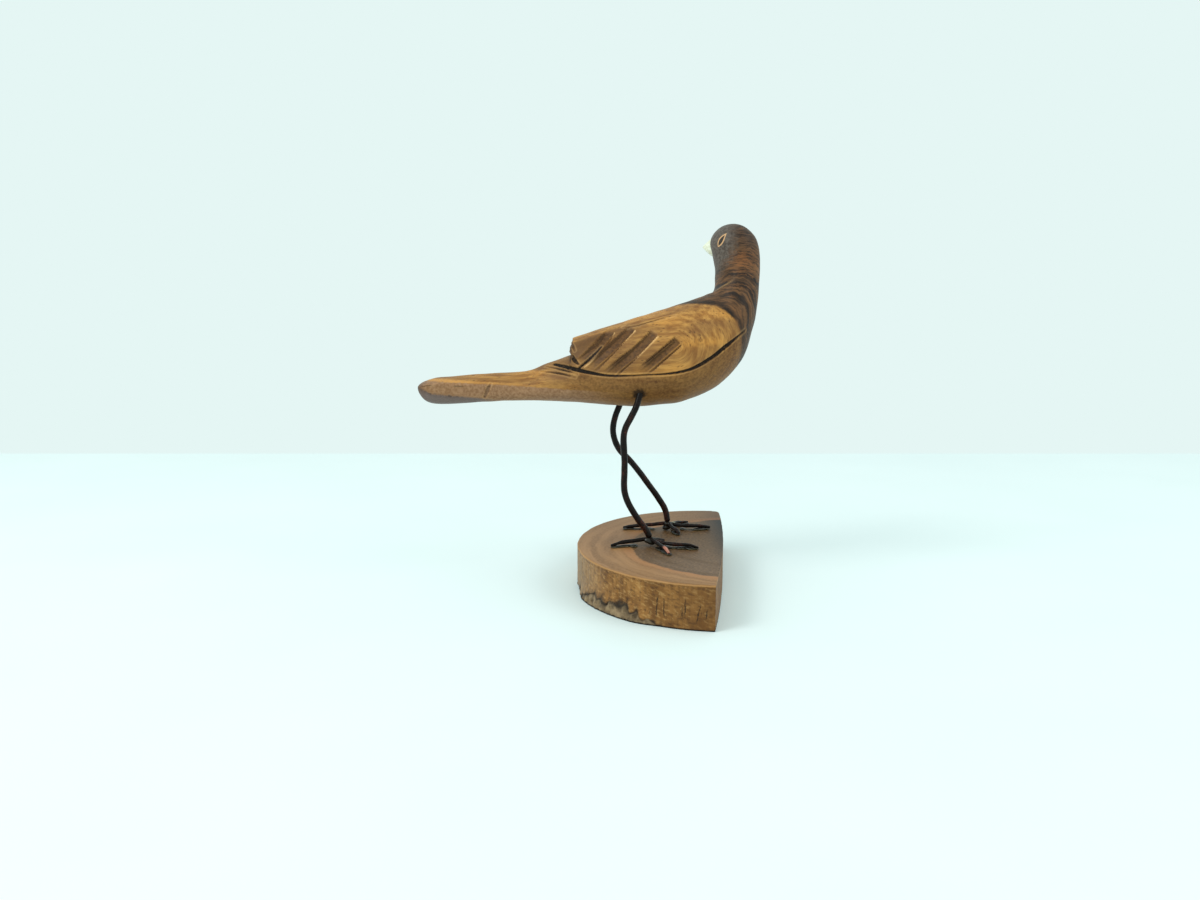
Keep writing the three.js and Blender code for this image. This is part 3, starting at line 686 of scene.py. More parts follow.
        # Dirt, with painted shade along the bark's upper edge.
        grime = (graph.painted("grime") * (0.5 + noise)).at_most(1.0)
        colour = graph.mix(grime * 0.9, colour, linear(34, 23, 15))
        foot = (z + noise * 0.5).falls(0.75, 1.15)
        colour = graph.mix(foot * 0.92, colour, linear(9, 6, 4))
        relief = noise * 0.12 * on_side + noise * 0.04
        graph.surface(
            Base_Color=colour, Roughness=0.45 + 0.2 * noise, Normal=graph.bump(relief),
            Specular_IOR_Level=0.22,
        )


@dataclass(frozen=True)
class StudioFloorFinish(Finish):
    """Plain pale matt floor."""

    name: str = "studio_floor"

    def paint(self, graph: Graph) -> None:
        """Build an almost even pale paint with a faint mottle."""
        x, y, z = graph.place()
        mottle = graph.noise(graph.vector(x, y, z), 0.01, 2.0)
        colour = graph.mix(mottle, linear(226, 236, 236), linear(232, 241, 241))
        graph.surface(Base_Color=colour, Roughness=0.6 + 0.1 * mottle)


# Mesh building


def smooth_step(value: Array, low: float, high: float) -> Array:
    """Return 0 below low and 1 above high, with a smooth cubic ramp between them."""
    share = np.clip((value - low) / (high - low), 0, 1)
    return share * share * (3 - 2 * share)


def ripple(points: Array, size: float, seed: int, waves: int = 14) -> Array:
    """Return smooth random ripples of about -1 to 1 at some points.

    The height is a sum of sine waves whose directions and phases come from a seeded generator.

    Args:
        points: The points, with their coordinates in the last axis.
        size: The width of one ripple, in the points' own unit.
        seed: The generator's seed.
        waves: How many waves are summed.

    Returns:
        One height for each point.
    """
    rng = np.random.default_rng(seed)
    ways = rng.normal(size=(waves, points.shape[-1]))
    ways *= (math.pi / size) * rng.uniform(0.5, 1.5, (waves, 1)) / np.linalg.norm(ways, axis=1, keepdims=True)
    phases = rng.uniform(0, 2 * math.pi, waves)
    return np.sin(points @ ways.T + phases).sum(-1) * math.sqrt(2 / waves)


def curve_through(points: Array, places: Array) -> Array:
    """Return the points of a smooth curve through some points.

    Each stretch is a Catmull-Rom cubic of its four neighbours, with the end points doubled straight on.

    Args:
        points: The points that the curve passes, one a row.
        places: Where it is read: 0 is the first point, 1 the second and so on.

    Returns:
        One row for each place.
    """
    rows = np.asarray(points, float)
    padded = np.vstack([2 * rows[0] - rows[1], rows, 2 * rows[-1] - rows[-2]])
    index = np.clip(np.floor(places).astype(int), 0, len(rows) - 2)
    f = (places - index)[:, None]
    a, b, c, d = (padded[index + k] for k in range(4))
    return b + 0.5 * f * (c - a + f * (2 * a - 5 * b + 4 * c - d + f * (3 * (b - c) + d - a)))


def even_places(points: Array, count: int) -> Array:
    """Return places along a curve through some points that lie at equal distances."""
    fine = np.linspace(0, len(points) - 1, 40 * len(points))
    steps = np.linalg.norm(np.diff(curve_through(points, fine), axis=0), axis=1)
    run = np.concatenate([[0], np.cumsum(steps)])
    return np.interp(np.linspace(0, run[-1], count), run, fine)


def nearest_on_line(points: Array, line: Array) -> tuple[Array, Array]:
    """Return each point's distance to a line and the share of the line's run where it is nearest.

    Args:
        points: The points, one a row.
        line: The line's own points, one a row.

    Returns:
        The distances and the shares, 0 at the line's start and 1 at its end.
    """
    best = np.full(len(points), np.inf)
    share = np.zeros(len(points))
    count = len(line) - 1
    for k, (start, end) in enumerate(zip(line[:-1], line[1:])):
        way = end - start
        t = np.clip((points - start) @ way / max(way @ way, 1e-12), 0, 1)
        gap = np.linalg.norm(points - start - t[:, None] * way, axis=1)
        closer = gap < best
        best = np.where(closer, gap, best)
        share = np.where(closer, (k + t) / count, share)
    return best, share


def closed_faces(rows: int, columns: int) -> tuple[Array, Array]:
    """Return the faces of a grid that closes on itself round its columns and has a pole at each end.

    Args:
        rows: How many rings the grid has.
        columns: How many points a ring has.

    Returns:
        The four-cornered faces between the rings and the three-cornered ones at the two poles, whose
        points follow the grid's own.
    """
    ring = np.arange(columns)
    after = (ring + 1) % columns
    start = (np.arange(rows - 1) * columns)[:, None]
    quads = np.stack([start + ring, start + after, start + columns + after, start + columns + ring], -1)
    first = np.stack([after, ring, np.full(columns, rows * columns)], -1)
    last_ring = (rows - 1) * columns
    last = np.stack([last_ring + ring, last_ring + after, np.full(columns, rows * columns + 1)], -1)
    return quads.reshape(-1, 4), np.vstack([first, last])


def make_mesh(name: str, vertices: Array, quads: Array, triangles: Array) -> bpy.types.Mesh:
    """Make a closed, smooth mesh whose faces point outwards.

    The enclosed volume is the sum of the tetrahedra from the origin to each face, and the faces
    are turned over where it comes out negative.

    Args:
        name: The mesh's name.
        vertices: Its points in millimetres.
        quads: Its four-cornered faces.
        triangles: Its three-cornered faces.

    Returns:
        The mesh, in metres.
    """
    halves = np.vstack([quads[:, :3], quads[:, [0, 2, 3]], triangles])
    corners = vertices[halves]
    volume = np.einsum("ij,ij->i", corners[:, 0], np.cross(corners[:, 1], corners[:, 2])).sum()
    if volume < 0:
        quads, triangles = quads[:, ::-1], triangles[:, ::-1]
    mesh = bpy.data.meshes.new(name)
    mesh.vertices.add(len(vertices))
    mesh.vertices.foreach_set("co", (vertices * MM).astype(np.float32).ravel())
    corner_points = np.concatenate([quads.ravel(), triangles.ravel()]).astype(np.int32)
    mesh.loops.add(len(corner_points))
    mesh.loops.foreach_set("vertex_index", corner_points)
    sizes = np.concatenate([np.full(len(quads), 4), np.full(len(triangles), 3)])
    mesh.polygons.add(len(sizes))
    mesh.polygons.foreach_set("loop_start", np.concatenate([[0], np.cumsum(sizes)[:-1]]).astype(np.int32))
    mesh.polygons.foreach_set("use_smooth", np.ones(len(sizes), bool))
    mesh.update(calc_edges=True)
    mesh.validate()
    return mesh


@dataclass
class Shell:
    """A closed surface on a grid, and the numbers that its points carry.

    Attributes:
        rings: The grid's points in mm: rings, points round a ring, coordinates.
        paint: Name to one number for each point of the grid.
    """

    rings: Array
    paint: dict[str, Array] = field(default_factory=dict)

    def parts(self) -> tuple[Array, Array, Array]:
        """Return the points with the two poles added, the four-cornered and the three-cornered faces."""
        rows, columns, _ = self.rings.shape
        poles = np.stack([self.rings[0].mean(0), self.rings[-1].mean(0)])
        quads, triangles = closed_faces(rows, columns)
        return np.vstack([self.rings.reshape(-1, 3), poles]), quads, triangles

    def painted(self, name: str) -> Array:
        """Return a carried number for each point, poles included."""
        rows = self.paint.get(name, np.zeros(self.rings.shape[:2]))
        return np.concatenate([rows.ravel(), [rows[0].mean(), rows[-1].mean()]])

    def normals(self) -> Array:
        """Return the outward unit normal at each point: the cross product of the grid's two slopes."""
        wrapped = np.concatenate([self.rings[:, -1:], self.rings, self.rings[:, :1]], axis=1)
        around = (wrapped[:, 2:] - wrapped[:, :-2]) / 2
        along = np.gradient(self.rings, axis=0)
        made = np.cross(around, along)
        return made / np.maximum(np.linalg.norm(made, axis=-1, keepdims=True), 1e-9)


def make_piece(
    name: str, shells: Sequence[Shell], finish: Finish, replaces: str | None = None
) -> bpy.types.Object:
    """Make one object of the bird from closed surfaces.

    Args:
        name: The object's name.
        shells: The surfaces it is made of.
        finish: Its finish.
        replaces: The solid that it stands for, if any.

    Returns:
        The object, riding on the root body.
    """
    vertices, quads, triangles, count = [], [], [], 0
    for shell in shells:
        points, four, three = shell.parts()
        vertices.append(points)
        quads.append(four + count)
        triangles.append(three + count)
        count += len(points)
    mesh = make_mesh(name, np.vstack(vertices), np.vstack(quads), np.vstack(triangles))
    for label in sorted({label for shell in shells for label in shell.paint}):
        values = np.concatenate([shell.painted(label) for shell in shells])
        layer = mesh.attributes.new(label, "FLOAT", "POINT")
        layer.data.foreach_set("value", np.clip(values, 0, 1).astype(np.float32))
    piece = bpy.data.objects.new(name, mesh)
    bpy.context.scene.collection.objects.link(piece)
    mesh.materials.append(finish.material())
    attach(piece, "root")
    if replaces:
        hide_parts(replaces)
    LOG.info("%s: %d faces", name, len(mesh.polygons))
    return piece


def tube(
    route: Array,
    radius: Callable[[Array], Array],
    reference: Sequence[float],
    rings: int,
    sides: int,
    flatten: float = 1.0,
    seed: int = 0,
    lumps: float = 0.0,
) -> Shell:
    """Return a closed tube along a smooth route, with rounded ends.

    A point is the route plus the radius times the cosine of its angle along the first cross
    direction and the sine along the second. Near an end the radius follows a quarter circle.

    Args:
        route: The points that the middle line passes, in mm.
        radius: The radius as a function of the share of the run, in mm.
        reference: A direction that the route never runs along.
        rings: How many rings the tube has.
        sides: How many points a ring has.
        flatten: The height of a ring as a share of its width.
        seed: The seed of the lumps.
        lumps: How much the radius wanders, as a share of itself.

    Returns:
        The tube's surface.
    """
    share = 0.5 - 0.5 * np.cos(np.linspace(0, math.pi, rings))
    even = even_places(route, 400)
    places = np.interp(share, np.linspace(0, 1, 400), even)
    line = curve_through(route, places)
    way = np.gradient(line, axis=0)
    way /= np.maximum(np.linalg.norm(way, axis=1, keepdims=True), 1e-9)
    first = np.cross(way, np.asarray(reference, float))
    first /= np.linalg.norm(first, axis=1, keepdims=True)
    second = np.cross(way, first)
    reach = np.concatenate([[0], np.cumsum(np.linalg.norm(np.diff(line, axis=0), axis=1))])
    width = radius(share)
    to_end = np.minimum(reach, reach[-1] - reach) / width
    cap = np.sqrt(np.clip(1 - (1 - np.clip(to_end, 0.002, 1)) ** 2, 0, 1))
    angle = np.linspace(0, 2 * math.pi, sides, endpoint=False)[None, :, None]
    spread = np.cos(angle) * first[:, None] + flatten * np.sin(angle) * second[:, None]
    rough = line[:, None] + spread * width[:, None, None]
    swell = 1 + lumps * ripple(rough, 2.4, seed)
    return Shell(line[:, None] + spread * (width * cap)[:, None, None] * swell[..., None])


def blob(
    middle: Sequence[float], radii: Sequence[float], seed: int, lumps: float = 0.15, rings: int = 22
) -> Shell:
    """Return a lumpy rounded lump: an ellipsoid whose radii wander with seeded ripples.

    Args:
        middle: Its middle, in mm.
        radii: Its three radii, in mm.
        seed: The seed of the lumps.
        lumps: How much the radii wander, as a share.
        rings: How many rings it has.

    Returns:
        The lump's surface.
    """
    polar = np.linspace(0.03, math.pi - 0.03, rings)[:, None]
    turn = np.linspace(0, 2 * math.pi, 2 * rings, endpoint=False)[None]
    level = np.sin(polar)
    ball = np.stack([level * np.cos(turn), level * np.sin(turn), np.cos(polar) + 0 * turn], -1)
    swell = 1 + lumps * ripple(ball, 1.1, seed)
    return Shell(np.asarray(middle) + ball * np.asarray(radii) * swell[..., None])


# The carved bird


class Side(Enum):
    """The two flanks, by the sign of their Y."""

    NEAR = -1
    FAR = 1


def station(
    back: Sequence[float],
    belly: Sequence[float],
    half_width: float,
    seat: float,
    back_power: float = 2.0,
    belly_power: float = 2.0,
) -> list[float]:
    """Return one row of a table of cross-sections.

    Args:
        back: The back point as x, z and, if it is off the middle plane, y, in mm.
        belly: The belly point, given the same way.
        half_width: Half the section's width, in mm.
        seat: Where the widest place lies between belly, 0, and back, 1.
        back_power: The power of the upper half's superellipse.
        belly_power: The power of the lower half's superellipse.

    Returns:
        Back point, belly point, half width, seat and the two powers in one list.
    """
    back_y = back[2] if len(back) > 2 else 0.0
    belly_y = belly[2] if len(belly) > 2 else 0.0
    return [back[0], back_y, back[1], belly[0], belly_y, belly[1], half_width, seat, back_power, belly_power]


TAIL_STATIONS = np.array([
    station([-108.6, 88.9], [-108.6, 88.7], 0, 0.7, 1.7, 2.4),
    station([-107.5, 90.9], [-107.2, 85.6], 5.8, 0.75, 1.7, 2.6),
    station([-104.4, 92.5], [-104.2, 82.8], 8.6, 0.82, 1.6, 3),
    station([-98.7, 93.7], [-98.7, 81.7], 9.3, 0.8, 1.5, 3.4),
    station([-89.6, 94.6], [-89.6, 82.0], 9.2, 0.7, 1.5, 3.6),
    station([-77, 95.6], [-77, 82.8], 8.8, 0.62, 1.5, 3.6),
    station([-65.5, 96.2], [-65.5, 83.3], 8.8, 0.54, 1.6, 3.3),
    station([-57, 97.1], [-57, 83.4], 9.7, 0.48, 1.7, 3),
    station([-50, 100], [-50, 83.2], 11.2, 0.44, 1.8, 2.7),
    station([-44, 102], [-44, 83], 12.6, 0.42, 1.9, 2.4),
    station([-38.9, 104], [-38.9, 82.7], 13.8, 0.42, 2, 2.3),
])

BODY_STATIONS = np.array([
    station([-37.9, 111.7], [-37.9, 82.6], 14.4, 0.36, 2, 2.3),
    station([-31, 114.1], [-31, 82.1], 16.4, 0.39, 2, 2.2),
    station([-21, 117.2], [-21, 81.3], 18.8, 0.41, 2, 2.1),
    station([-9, 120.9], [-9, 80.5], 20.8, 0.42),
    station([3, 124.6], [3, 81.4], 21.8, 0.42),
    station([13, 127.8], [14, 83.2], 21.7, 0.43),
    station([18.8, 129.7, 0.4], [28.9, 90.2], 20.8, 0.45),
    station([23, 131.3, 0.8], [39.5, 101.8], 19, 0.47),
    station([25.9, 133.4, 1.6], [44.4, 115.9, 0.2], 16.6, 0.49),
    station([27.2, 138.1, 2.6], [46.4, 127.3, 0.4], 14, 0.5),
    station([27.4, 142.2, 3.2], [47.2, 137.1, 0.6], 12, 0.5),
    station([26.8, 145.9, 3.6], [47.3, 146, 0.7], 11, 0.5),
    station([26, 150, 4], [47, 150, 0.8], 10.8, 0.5),
    station([25, 153.8, 4.2], [46.3, 153.6, 0.8], 10.7, 0.5),
    station([25.6, 157, 4.2], [45, 157, 0.8], 10, 0.5),
    station([27.7, 159.9, 3.9], [42.5, 159.9, 1.1], 8, 0.5),
    station([30.7, 162.1, 3.2], [39.3, 162.1, 1.8], 4.6, 0.5),
    station([34.9, 163, 2.5], [35.1, 163, 2.5], 0, 0.5),
])

BODY_Y = 13.0


@dataclass
class Loft:
    """A skin through a table of cross-sections.

    Attributes:
        table: One row a station, as station() makes it.
        middle_y: The Y of the middle plane, in mm.
    """

    table: Array
    middle_y: float = BODY_Y

    def past(self, end: Array, inner: Array) -> Array:
        """Return the row past an end: turned over across a pole, else straight on."""
        if end[6] == 0:
            return np.concatenate([inner[3:6], inner[0:3], [-inner[6]], inner[7:]])
        return 2 * end - inner

    def rows(self, places: Array) -> Array:
        """Return the blended rows at some places: a Catmull-Rom cubic of four neighbouring stations."""
        t = self.table
        padded = np.vstack([self.past(t[0], t[1]), t, self.past(t[-1], t[-2])])
        index = np.clip(np.floor(places).astype(int), 0, len(t) - 2)
        f = (places - index)[:, None]
        a, b, c, d = (padded[index + k] for k in range(4))
        return b + 0.5 * f * (c - a + f * (2 * a - 5 * b + 4 * c - d + f * (3 * (b - c) + d - a)))

    def skin(self, places: Array, around: Array) -> Array:
        """Return the skin as a grid of places along the body by turns round the section.

        Each half of a section is a superellipse: height and width are the sine and cosine of the
        turn, each raised to two over the half's power, on the line from belly to back.

        Args:
            places: Places along the table, 0 at its first station.
            around: Turns in radians: 0 on the far side, a quarter turn on the back.

        Returns:
            Points in mm: places, turns, coordinates.
        """
        rows = self.rows(places)
        back, belly = rows[:, None, 0:3], rows[:, None, 3:6]
        half_width, seat, back_power, belly_power = (rows[:, None, k] for k in (6, 7, 8, 9))
        side, up = np.cos(around)[None], np.sin(around)[None]
        power = 2 / np.where(up >= 0, back_power, belly_power)
        room = np.where(up >= 0, 1 - seat, seat)
        along = seat + np.sign(up) * np.abs(up) ** power * room
        across = np.sign(side) * np.abs(side) ** power * np.maximum(half_width, 0)
        points = belly + (back - belly) * along[..., None]
        points[..., 1] += across + self.middle_y
        return points


@dataclass
class Gouge:
    """A round-bottomed cut along a line on the side view.

    Attributes:
        line: The line's points as x and z, in mm.
        radii: The gouge's radius at equal steps along the line, in mm.
        lift: How far the gouge's middle runs off the skin, in mm.
        grime: How much dark residue and painted shade lie in it.
    """

    line: Sequence[Sequence[float]]
    radii: Sequence[float]
    lift: float
    grime: float = 1.0


@dataclass
class FeatherCut:
    """A flat-bottomed channel between two lines on the side view, from the top down.

    Attributes:
        left: The line of its left wall as x and z, in mm.
        right: The line of its right wall.
    """

    left: Sequence[Sequence[float]]
    right: Sequence[Sequence[float]]


FEATHER_CUTS = (
    FeatherCut([[7.1, 111.6], [-0.6, 104.9], [-8.3, 98.1]], [[11, 110.9], [3.4, 104.3], [-4.3, 97.7]]),
    FeatherCut(
        [[-3.9, 115], [-11.7, 107.2], [-17.6, 101.9], [-23, 96.6]],
        [[1.3, 114.3], [-8.1, 105.1], [-13.3, 101], [-20.5, 94.6]],
    ),
    FeatherCut(
        [[-14.3, 116], [-17.4, 113], [-24.8, 106.1], [-31, 99.9]],
        [[-8.4, 116.6], [-12.9, 112.5], [-20, 105.6], [-28.6, 98]],
    ),
    FeatherCut(
        [[-23.6, 114.4], [-26.2, 110.5], [-31.3, 106.6], [-35.7, 102.8]],
        [[-18, 115.4], [-22.4, 110.5], [-28.6, 102.8], [-32.7, 99.4]],
    ),
)
WING_EDGE = Gouge(
    [
        [39.2, 116], [35.2, 112.8], [29.5, 108.4], [24.7, 104.6], [18.6, 100.9], [12, 98.3], [3.8, 97.1],
        [-4.3, 96.7], [-13.6, 96.2], [-21.9, 96.2], [-31.2, 97.6], [-39.2, 99.3], [-45.5, 100.4],
    ],
    [0.4, 1.05, 0.95, 0.7, 0.5, 0.5, 0.65, 1.0, 1.0],
    0.1,
)
BACK_EDGE = Gouge([[8, 122.4], [-0.6, 120.2], [-8.1, 118], [-14.6, 117]], [0.2, 0.55, 0.55, 0.3], 0.15, 0.7)
SLOT = Gouge([[-24.6, 109.0], [-29.1, 104.2], [-32, 101.4], [-34.8, 98.9]], [0.3, 0.62, 0.62, 0.4], -0.4, 1.0)
TAIL_ROOT_UPPER = Gouge([[-49.5, 99.2], [-42.8, 98.4], [-35.3, 96.6]], [0.3, 0.7, 0.3], 0.15, 0.8)
TAIL_ROOT_LOWER = Gouge([[-51.7, 97.2], [-43.7, 96.7], [-36.1, 95.2]], [0.3, 0.7, 0.3], 0.15, 0.8)
TAIL_NICK = Gouge([[-74.5, 91.6], [-75.8, 88.6], [-77.1, 85.6]], [0.7, 1.1, 0.9], 0.4, 0.3)
CHIP_LOW = Gouge([[-37.7, 104.2], [-36.3, 102.4], [-34.2, 100.6]], [0.9, 1.1, 0.5], 0.3, 0.9)
CHIP_HIGH = Gouge([[-37.8, 108.9], [-36.9, 107.9], [-36.4, 106.7]], [0.9, 0.8, 0.4], 0.4, 0.4)
FLANK_LINES = (WING_EDGE, BACK_EDGE, SLOT, TAIL_ROOT_UPPER, TAIL_ROOT_LOWER)
NEAR_MARKS = (TAIL_NICK, CHIP_LOW, CHIP_HIGH)

HEAD_MIDDLE = np.array([35.8, BODY_Y + 2.4, 152.6])
BEAK_AZIMUTH = 137.0
EYE_HEIGHT = 155.5
EYE_SPREAD = 89.5
EYE_LEAN = 57.0
EYE_REACH = 10.6


def eye(side: Side) -> Eye:
    """Return one eye, placed at its azimuth off the beak and leaning back as it rises."""
    out = direction(BEAK_AZIMUTH - side.value * EYE_SPREAD)
    middle = np.array([HEAD_MIDDLE[0], HEAD_MIDDLE[1], EYE_HEIGHT]) + out * EYE_REACH
    away = direction(BEAK_AZIMUTH + 180)
    level = away - (away @ out) * out
    level /= np.linalg.norm(level)
    axis = level * math.cos(math.radians(EYE_LEAN)) + np.array([0, 0, math.sin(math.radians(EYE_LEAN))])
    bow = np.cross(out, axis)
    return Eye(*(tuple(map(float, vector)) for vector in (middle, axis, bow, out)))


EYES = (eye(Side.NEAR), eye(Side.FAR))


@dataclass
class CarvedBody:
    """The bird's carved body: tail, wings, neck and head in one skin.

    Attributes:
        columns: How many points a ring has.
        spacing: How far apart the rings lie, in mm, by the x of the middle line.
        upper_spacing: How far apart they lie in the neck and head, in mm.
        neck_height: The height of the middle line from which that spacing holds, in mm.
        break_rings: Rings across the broken wing end.
        channel_depth: The depth of a feather cut along its right wall, in mm.
        channel_depth_left: Its depth along the left wall, in mm.
        wall: The width of a cut's sloping walls, in mm.
        throat: Points of the wide gouge behind the shoulder: the place in BODY_STATIONS, the turn
            in half circles and how far the gouge's middle runs off the skin, in mm.
        throat_radius: That gouge's radius, in mm.
    """

    columns: int = 264
    spacing: tuple[tuple[float, float], ...] = (
        (-108.6, 0.5), (-104.0, 1.0), (-80.0, 1.0), (-78.5, 0.32), (-73.5, 0.32), (-72.0, 1.0), (-56.0, 0.9),
        (-48.0, 0.45), (-38.0, 0.3), (10.0, 0.34), (16.0, 0.6), (30.0, 0.8),
    )
    upper_spacing: float = 0.85
    neck_height: float = 112.0
    break_rings: int = 9
    channel_depth: float = 0.85
    channel_depth_left: float = 1.2
    wall: float = 0.55
    throat: tuple[tuple[float, float, float], ...] = (
        (7.3, 0.25, 5.6), (7.9, 0.47, 5.1), (8.8, 0.66, 5.1), (9.6, 0.8, 5.3), (10.2, 0.9, 5.9),
    )
    throat_radius: float = 6.0

    def turns(self) -> Array:
        """Return the angles of a ring's points, closer together on the flanks than on back and belly."""
        even = np.linspace(0, 2 * math.pi, self.columns, endpoint=False)
        return even - 0.2 * np.sin(2 * even)

    def places(self, table: Array) -> Array:
        """Return the places of a table's rings, so that each gap follows the spacing.

        A section's step is the mean of its back point's and its belly point's, so that it doesn't
        vanish at a pole, where the two meet. The count of rings is the integral of the steps over
        the spacing, and the places are where that integral passes the whole numbers.
        """
        fine = np.linspace(0, len(table) - 1, 3000)
        ends = Loft(table).rows(fine)[:, :6].reshape(-1, 2, 3)
        middle = ends.mean(1)
        steps = np.linalg.norm(np.diff(ends, axis=0), axis=2).mean(1)
        xs, gaps = zip(*self.spacing)
        in_neck = middle[:, 2] > self.neck_height
        gap = np.where(in_neck, self.upper_spacing, np.interp(middle[:, 0], xs, gaps))
        count = np.concatenate([[0], np.cumsum(steps / gap[1:])])
        return np.interp(np.linspace(0, count[-1], int(count[-1]) + 1), count, fine)

    def skin(self) -> tuple[Shell, Array]:
        """Return the smooth skin and, for each ring, 1 on the broken wing end and 0 elsewhere.

        The rings run from the tail's tip to the step where the wings end, up the step in straight
        lines from the last tail ring to the first body ring, and on to the crown.
        """
        turns = self.turns()
        tail = Loft(TAIL_STATIONS).skin(self.places(TAIL_STATIONS)[1:], turns)
        body = Loft(BODY_STATIONS).skin(self.places(BODY_STATIONS)[:-1], turns)
        share = (np.arange(1, self.break_rings) / self.break_rings)[:, None, None]
        step = tail[-1] * (1 - share) + body[0] * share
        broken = np.concatenate([np.zeros(len(tail)), np.ones(len(step)), np.zeros(len(body))])
        return Shell(np.concatenate([tail, step, body])), broken

    def skin_line(self, flat: Array, line: Sequence[Sequence[float]], count: int) -> Array:
        """Lift a line of the side view onto the skin.

        Each point takes the Y of the skin's points near it, weighted by closeness on the side view.

        Args:
            flat: The flank's points, one a row.
            line: The line's points as x and z.
            count: How many points the lifted line has.

        Returns:
            The line on the skin, one point a row.
        """
        drawn = np.asarray(line, float)
        drawn = curve_through(drawn, even_places(drawn, count))
        gaps = (drawn[:, None, 0] - flat[None, :, 0]) ** 2 + (drawn[:, None, 1] - flat[None, :, 2]) ** 2
        weight = 1 / (gaps ** 2 + 1e-4)
        lifted = (weight * flat[None, :, 1]).sum(1) / weight.sum(1)
        return np.stack([drawn[:, 0], lifted, drawn[:, 1]], -1)

    def gouge_depth(self, points: Array, line: Array, radii: Sequence[float], lift: float) -> Array:
        """Return how deep a round gouge cuts at each point.

        It is the height of the gouge's circle below the skin: the root of the radius squared less
        the distance squared, less the lift.
        """
        gap, share = nearest_on_line(points, line)
        radius = np.interp(share, np.linspace(0, 1, len(radii)), radii)
        below = np.sqrt(np.maximum(radius ** 2 - gap ** 2, 0)) - lift
        return np.where(gap < radius, np.maximum(below, 0), 0)

    def channel(self, points: Array, flat: Array, cut: FeatherCut) -> tuple[Array, Array, Array, Array]:
        """Return what a feather cut does at each point.

        The depth goes straight from the left wall's to the right wall's, falls off in a smooth
        ramp at each wall and at the upper end, and runs out along the fourth power of the run.

        Args:
            points: The flank's points, one a row.
            flat: The same points, used to lift the cut's lines onto the skin.
            cut: The cut.

        Returns:
            Its depth, its floor, its dark left corner, which is painted shade, and its pale right edge,
            which is a painted highlight.
        """
        left = self.skin_line(flat, cut.left, 14)
        right = self.skin_line(flat, cut.right, 14)
        near_left, run_left = nearest_on_line(points, left)
        near_right, run_right = nearest_on_line(points, right)
        width = np.linalg.norm(left - right, axis=1).mean()
        run = (run_left + run_right) / 2
        inside = np.maximum(near_left, near_right) < width * 1.04
        between = near_left / np.maximum(near_left + near_right, 1e-6)
        ends = smooth_step(run, 0.0, 0.045) * (1 - run ** 4)
        walls = smooth_step(near_left, 0, self.wall) * smooth_step(near_right, 0, self.wall)
        depth = self.channel_depth_left * (1 - between) + self.channel_depth * between
        inside = inside & (run > 0.001) & (run < 0.999)
        floor = np.where(inside, walls * np.clip(ends * 1.6, 0, 1), 0)
        # Painted shade: the cut's dark left corner, where its wall is turned from the light.
        corner = np.where(inside, smooth_step(near_left, 1.0, 0.25) * np.clip(ends * 1.5, 0, 1), 0)
        # Painted highlight: the cut's pale right edge, where its wall catches the light.
        edge = np.where(inside, 0, smooth_step(near_right, 0.75, 0.2)) * (run > 0.02) * (run < 0.97)
        return np.where(inside, depth * walls * ends, 0), floor, corner, edge

    def carve(self) -> Shell:
        """Return the skin with every cut sunk into it and the cuts' colours marked."""
        shell, broken = self.skin()
        points = shell.rings.reshape(-1, 3)
        depth = np.zeros(len(points))
        grime = np.zeros(len(points))
        channel = np.zeros(len(points))
        worn = np.zeros(len(points))
        for side in Side:
            chosen = np.flatnonzero(((points[:, 1] - BODY_Y) * side.value > 0.5) & (points[:, 2] < 128))
            here = points[chosen]
            flat = here[::3]
            for cut in FEATHER_CUTS:
                sunk, floor, corner, edge = self.channel(here, flat, cut)
                depth[chosen] = np.maximum(depth[chosen], sunk)
                channel[chosen] = np.maximum(channel[chosen], floor)
                # The cut's dark left corner is painted shade, laid into the same dark mark as the residue.
                grime[chosen] = np.maximum(grime[chosen], corner * 0.62)
                worn[chosen] = np.maximum(worn[chosen], edge)
            for mark in FLANK_LINES + (NEAR_MARKS if side is Side.NEAR else ()):
                line = self.skin_line(flat, mark.line, 34)
                sunk = self.gouge_depth(here, line, mark.radii, mark.lift)
                depth[chosen] = np.maximum(depth[chosen], sunk)
                # Dark residue in the gouge, with painted shade that grows with its depth.
                stain = smooth_step(sunk, 0.08, 0.45) * mark.grime
                grime[chosen] = np.maximum(grime[chosen], stain)
                gap, _ = nearest_on_line(here, line)
                # Painted highlight: a pale rim just outside each gouge, where its edge catches the light.
                rim = smooth_step(gap, 0.5, 0.7) * smooth_step(gap, 1.5, 0.9) * (sunk == 0)
                worn[chosen] = np.maximum(worn[chosen], rim * 0.25)
        depth = np.maximum(depth, self.throat_depth(points))
        # Painted highlight along the crest below the throat gouge.
        worn = np.maximum(worn, self.throat_crest_highlight(points))
        rough = ripple(points, 1.3, 5) * 0.5 + ripple(points, 0.7, 6) * 0.3
        at_break = np.repeat(broken, self.columns) * smooth_step(points[:, 2], 100.5, 103.0)
        grime = np.maximum(grime, at_break * (0.45 + 0.35 * rough))
        normals = shell.normals().reshape(-1, 3)
        carved = points - normals * depth[:, None] - normals * (0.05 * (ripple(points, 6.0, 3) + 1))[:, None]
        carved[:, 0] += self.break_shift(points, rough, at_break)
        size = shell.rings.shape[:2]
        paint = {"grime": grime, "channel": channel, "worn": worn}
        return Shell(carved.reshape(shell.rings.shape), {k: v.reshape(size) for k, v in paint.items()})

    def throat_line(self) -> Array:
        """Return the line on the skin that the wide gouge behind the shoulder follows."""
        loft = Loft(BODY_STATIONS)
        spots = [loft.skin(np.array([p]), np.array([t * math.pi]))[0, 0] for p, t, _ in self.throat]
        return curve_through(np.array(spots), np.linspace(0, len(spots) - 1, 40))

